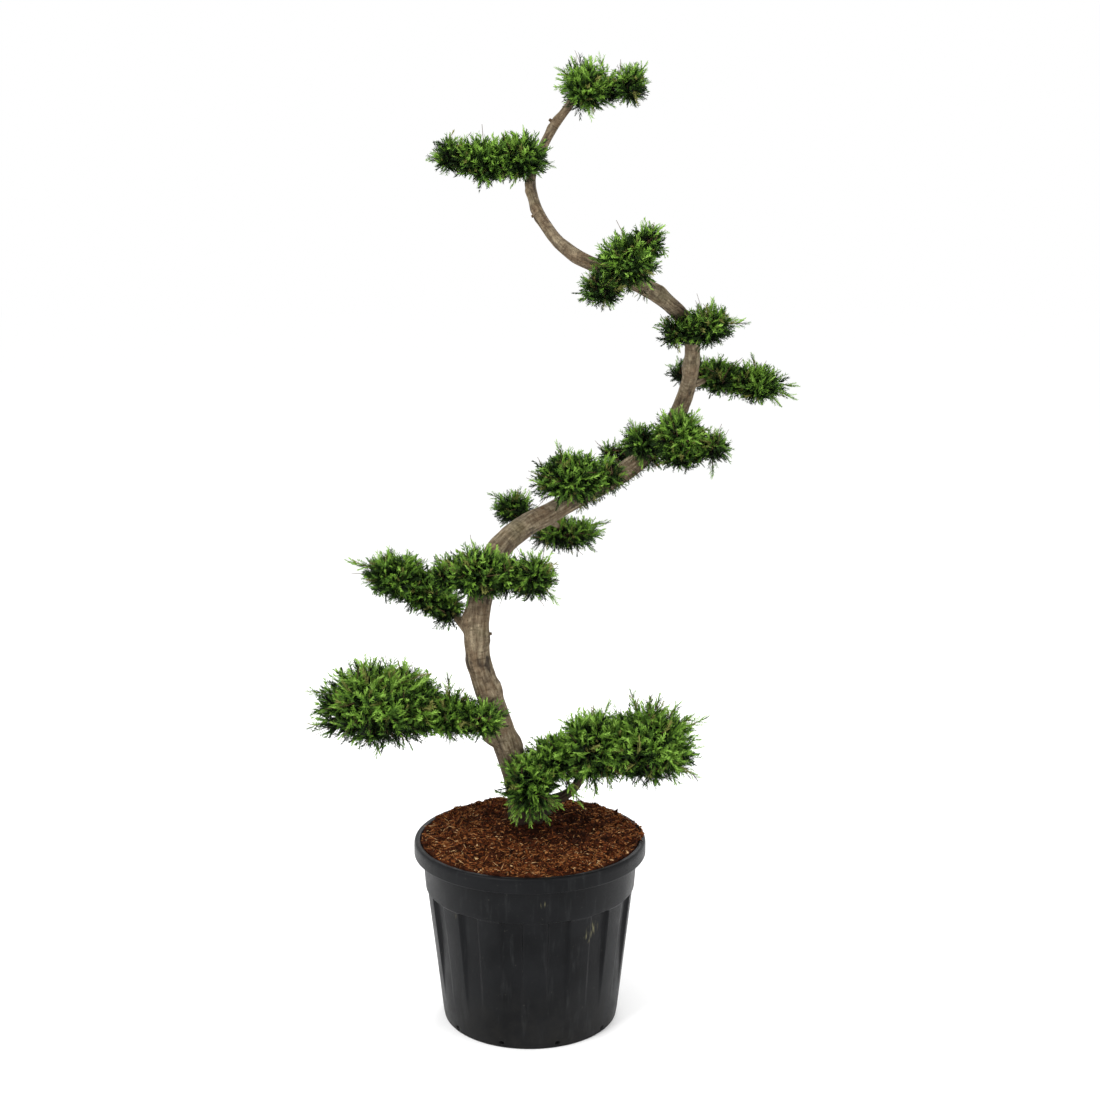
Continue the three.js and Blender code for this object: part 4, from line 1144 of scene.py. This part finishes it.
def grow_sprig(tip, lobes, rng):
    """A long sprig: a twig from the middle of the nearest lobe towards a tip outside the skin, with
    shoots along its last stretch that lean less and grow shorter towards the tip."""
    middle = lobes[np.argmin(np.linalg.norm(lobes[:, :3] - tip, axis=1)), :3] * MM
    tip = np.array(tip) * MM
    along = unit(tip - middle)
    order = np.arange(SPRIG_SHOOTS) / (SPRIG_SHOOTS - 1)
    feet = tip - along * (SPRIG_END + (1 - order[:, None]) * SPRIG_HOLD)
    first, second, _ = axes_along(np.tile(along, (SPRIG_SHOOTS, 1)), np.zeros(SPRIG_SHOOTS))
    turn = (np.arange(SPRIG_SHOOTS) * GOLDEN)[:, None]
    lean = np.radians(42 - 32 * order + rng.uniform(-8, 8, SPRIG_SHOOTS))[:, None]
    ways = along * np.cos(lean) + (first * np.cos(turn) + second * np.sin(turn)) * np.sin(lean)
    twig = middle[None], (tip - along * SPRIG_END)[None], np.array([SPRIG_RADIUS])
    # Painted light: darker at the sprig's foot inside the pad, lighter towards its tip.
    return *twig, feet, ways, (36 - 18 * order) * MM, 1.3 + 1.2 * order


print("one tuft for each", TUFT_AREA, "square metres of skin")

# %% [markdown]
# ## Greens dealt out by shoot
#
# Seen close, the foliage is a mix of fresh yellow-green tips and full green needles, with an olive
# shoot here and there, and nearly black in the depths, where shade falls. A texture on thousands of
# separate needles would land anywhere, so there are six plain finishes, and each shoot is dealt one
# by how deep it stands and how much its side of the pad faces the sky: painted shade in the depths
# and below, painted light above. The young needles at a shoot's tip take the next brighter finish.

# %% The greens
# One green under painted light and shade: the first two are painted shade, the next two the green under
# painted light; the tip's green is young growth and the olive a colour of its own.
GREENS = [
    ("needle_shade", rgb(7, 13, 5)),
    ("needle_half_shade", rgb(31, 51, 17)),
    ("needle_green", rgb(82, 116, 44)),
    ("needle_fresh_lit", rgb(118, 156, 58)),
    ("needle_tip", rgb(146, 184, 82)),
    ("needle_olive", rgb(128, 130, 70)),
]
SHADE, FRESH_LIT, TIP, OLIVE = 0, 3, 4, 5
OLIVE_CHANCE, SHADE_CHANCE = 0.04, 0.13
CORE_ROWS, CORE_COLUMNS = 30, 48
greens = [make_plain(name, colour, 0.5, 0.12) for name, colour in GREENS]
TWIG_BARK = make_plain("twig_bark", rgb(86, 68, 48), 0.85, 0.2)
# Near-black painted shade for the balls in the pads' depths.
SHADE_CORE_PAINT = make_plain("painted_shade_core", rgb(4, 7, 2), 0.95, 0.02)


def dealt_greens(feet, light, rng):
    """A green for each shoot, from the painted light and shade that its place gets and a little chance. Slow
    noise keeps neighbours alike, one shoot in eight is dealt painted shade at random, and a few are olive."""
    level = light + 0.3 * body_noise(feet, 0.05, 20, 91) + rng.normal(0, 0.55, len(feet))
    level = np.clip(np.round(level), SHADE, FRESH_LIT).astype(int)
    chance = rng.uniform(0, 1, len(feet))
    return np.where(chance < OLIVE_CHANCE, OLIVE, np.where(chance > 1 - SHADE_CHANCE, SHADE, level))


def lobe_core(lobe, share, seed):
    """A ball of painted shade deep in a lobe: a closed ball, scaled to the lobe, with lumps on it. Points
    too near the wood are drawn in towards the middle, a tenth at a time."""
    rise = np.linspace(-0.985, 0.985, CORE_ROWS)[:, None]
    turn = np.linspace(0, 2 * np.pi, CORE_COLUMNS, endpoint=False)[None, :]
    flat = np.sqrt(1 - rise * rise)
    ways = np.stack(np.broadcast_arrays(flat * np.cos(turn), flat * np.sin(turn), rise), -1)
    lumps = lattice_noise(turn / (2 * np.pi) * 12, (rise + 1) * 5, seed, 12)
    lumps = lumps + 0.7 * lattice_noise(turn / (2 * np.pi) * 24, (rise + 1) * 11, seed + 1, 24)
    points = place_in_lobe(lobe, ways.reshape(-1, 3), (share * (0.93 + 0.08 * lumps)).ravel())
    middle = lobe[:3] * MM
    for _ in range(14):
        near = ~clear_of_wood(points, 8 * MM)
        points[near] = middle + (points[near] - middle) * 0.9
    return skin(points.reshape(CORE_ROWS, CORE_COLUMNS, 3))


# %% Growing all the pads
STEM_STEP, LINK_RADIUS = 24, 4 * MM
BRIDGE_SHARE = 0.8  # of the mean half sizes of the two lobes that it joins


def needle_mesh(name, feet, ways, lengths, level, rng):
    """All shoots of a pad as one mesh: each is one of eight stamps, in its own green, with the
    next brighter one on its young needles."""
    parts, slots = [], []
    for kind, group in enumerate(np.array_split(rng.permutation(len(feet)), SHOOT_KINDS)):
        stamp, faces, young = SHOOTS[kind]
        rolls = rng.uniform(0, 2 * np.pi, len(group))
        parts.append(stamped(stamp, faces, feet[group], ways[group], rolls, lengths[group], lengths[group]))
        own = np.repeat(level[group][:, None], len(faces), axis=1)
        brighter = np.where(own == OLIVE, OLIVE, np.minimum(own + 1, TIP))
        slots.append(np.where(young[None, :], brighter, own).ravel())
    return add_mesh("needles_" + name, *joined_stamps(parts), greens, np.concatenate(slots), False)


def limb_twigs(name, lobes):
    """The last stretch of a pad's limb, and links from lobe to lobe."""
    way, radius, entry = limbs[name]
    stem = way[max(entry - 6, 0)::STEM_STEP]
    share = np.linspace(0, 1, len(stem) - 1)
    stems = twigs_between(stem[:-1], stem[1:], np.interp(share, [0, 1], radius[[entry - 1, -1]]))
    middles = lobes[:, :3] * MM
    return [stems, twigs_between(middles[:-1], middles[1:], np.full(len(lobes) - 1, LINK_RADIUS))]


def grow_pad(name, number):
    """One pad's needles, twigs and a ball of painted shade inside, as three pieces."""
    rng = np.random.default_rng(500 + number)
    core, lobes = PADS[name][3], lobes_of[name]
    bridges = (lobes[:-1] + lobes[1:]) / 2 * [1, 1, 1, BRIDGE_SHARE, BRIDGE_SHARE, BRIDGE_SHARE]
    all_lobes = [*lobes] if name in OPEN_PADS else [*lobes, *bridges]
    grown = [grow_lobe(lobe, core, rng) for lobe in all_lobes]
    grown += [grow_sprig(tip, lobes, rng) for tip in SPRIGS.get(name, [])]
    starts, ends, radii, feet, ways, lengths, light = (np.concatenate(part) for part in zip(*grown))
    tips = feet + ways * lengths[:, None]
    fits = own_space(tips, name) & clear_of_wood(tips, 2 * MM) & clear_of_wood(feet, 0)
    fits &= share_of_pad(tips, lobes) > 0.6
    feet, ways, lengths, light = feet[fits], ways[fits], lengths[fits], light[fits]
    needles = needle_mesh(name, feet, ways, lengths, dealt_greens(feet, light, rng), rng)
    keep = own_space(ends, name) & clear_of_wood(ends, 1 * MM)
    parts = [*limb_twigs(name, lobes), twigs_between(starts[keep], ends[keep], radii[keep])]
    twigs = add_mesh("twigs_" + name, *joined_stamps(parts), [TWIG_BARK], smooth=False)
    # Balls of painted shade in the lobes' depths, so that no sky shows through.
    cores = [
        lobe_core(lobe, core * 0.84 * min(1, 0.5 + lobe[5] / 170), 700 + number * 10 + index)
        for index, lobe in enumerate(all_lobes)
    ]
    inside = add_mesh("inner_" + name, *joined(cores), [SHADE_CORE_PAINT])
    return needles, twigs, inside


pad_faces = 0
for number, name in enumerate(PADS):
    for piece in grow_pad(name, number):
        dress(piece, "bark" if piece.name.startswith("twigs") else "foliage", "pad_" + name)
        pad_faces += len(piece.data.polygons)
print("faces in all pads:", pad_faces)

# %% [markdown]
# ## What grows on the trunk itself
#
# A trunk that was stripped for training sprouts again where it is shaded: a fringe of short olive
# shoots hangs along the underside of the arch. Cut limbs leave stubs. Both follow the trunk's way,
# with the underside found as the part of straight down that is square to the trunk.

# %% The fringe and the stubs
# Each row: heights from and to, shoots, and their length in millimetres.
FRINGE = [[1162, 1215, 110, 17], [1215, 1262, 60, 12], [1255, 1300, 90, 26], [1640, 1668, 40, 14]]
# Each row: height, bearing as in the table of knots, length, radius.
STUBS = np.array([
    [1793, 0, 6, 4.5],
    [1981, 8, 9, 5],
    [1640, 165, 7, 4.5],
    [905, 178, 7, 5],
    [1129, 40, 6, 7],
    [700, 60, 5, 5],
])


def square_to_trunk(index, direction):
    """The part of a direction that is square to the trunk at points of its way."""
    tangent = unit(np.gradient(trunk_way, axis=0))[index]
    return unit(direction - tangent * (tangent @ direction)[:, None])


def add_fringe():
    """Short shoots that leave the underside of the trunk, and some that lean to the front."""
    rng = np.random.default_rng(77)
    grown = []
    for low, high, count, length in FRINGE:
        index = nearest_on_trunk(rng.uniform(low, high, count))
        under = square_to_trunk(index, np.array([0, 0, -1]))
        front = square_to_trunk(index, np.array([0, -1, 0]))
        turn = np.radians(rng.uniform(-35, 75, count))[:, None]
        side = unit(under * np.cos(turn) + front * np.sin(turn))
        feet = trunk_way[index] + side * trunk_radius[index, None] * 0.95
        ways = unit(side + rng.normal(0, 0.45, (count, 3)))
        grown.append((feet, ways, length * rng.uniform(0.6, 1.2, count) * MM))
    feet, ways, lengths = (np.concatenate(part) for part in zip(*grown))
    # Mostly the darker greens, painted shade under the arch; the olive is the shoots' own colour.
    level = rng.choice([SHADE, 1, 2, OLIVE], len(feet), p=[0.2, 0.35, 0.25, 0.2])
    stamp, faces, _ = SHOOTS[0]
    points, all_faces = stamped(stamp, faces, feet, ways, rng.uniform(0, 6.28, len(feet)), lengths, lengths)
    return add_mesh("needles_trunk_fringe", points, [all_faces], greens, np.repeat(level, len(faces)), False)


def add_stubs():
    height, bearing, length, radius = STUBS.T
    index = nearest_on_trunk(height)
    side = trunk_side(index, bearing)
    start = trunk_way[index] + side * trunk_radius[index, None] * 0.7
    reach = trunk_radius[index, None] * 0.3 + length[:, None] * MM
    points, faces = twigs_between(start, start + side * reach, radius * MM)
    return add_mesh("bark_stubs", points, [faces], [TWIG_BARK], smooth=False)


dress(add_fringe(), "foliage")
dress(add_stubs(), "bark")

# %% [markdown]
# ## Floor and light
#
# A pale floor without an edge, a bright even sky and three soft lamps make a plain studio. The
# key lamp stands high on the left, a weaker one fills from the right, and one behind lifts
# the outline. Large lamps give soft shadows, and their long reflections show the pot's sheen.

# %% The studio
FLOOR_HALF = 30
WHITE = (1, 1, 1, 1)
floor_corners = np.array([[-1, -1, 0], [1, -1, 0], [1, 1, 0], [-1, 1, 0.0]]) * FLOOR_HALF
floor_paint = make_plain("floor_paint", WHITE, 0.9, 0)
floor = add_mesh("floor", floor_corners, [np.array([[0, 1, 2, 3]])], [floor_paint])

scene.world = bpy.data.worlds.new("studio")
scene.world.use_nodes = True
sky = scene.world.node_tree.nodes["Background"]
sky.inputs["Color"].default_value = WHITE
sky.inputs["Strength"].default_value = 1


def add_lamp(name, place, aim_height, size, watts):
    """A square lamp at a place, turned to a point on the pot's axis."""
    lamp = bpy.data.objects.new(name, bpy.data.lights.new(name, "AREA"))
    lamp.data.size = size
    lamp.data.energy = watts
    lamp.location = place
    x, y, z = place
    lamp.rotation_euler = (np.arctan2(np.hypot(x, y), z - aim_height), 0, np.arctan2(-y, -x) - np.pi / 2)
    scene.collection.objects.link(lamp)
    print(name, "lamp:", watts, "W")


add_lamp("key", (-2.4, -2.6, 3.6), 1.1, 1.8, 130)
add_lamp("fill", (3.0, -2.2, 1.8), 0.9, 2.2, 45)
add_lamp("back", (0.8, 3.0, 3.4), 1.2, 2.0, 60)
scene.view_settings.view_transform = "Standard"
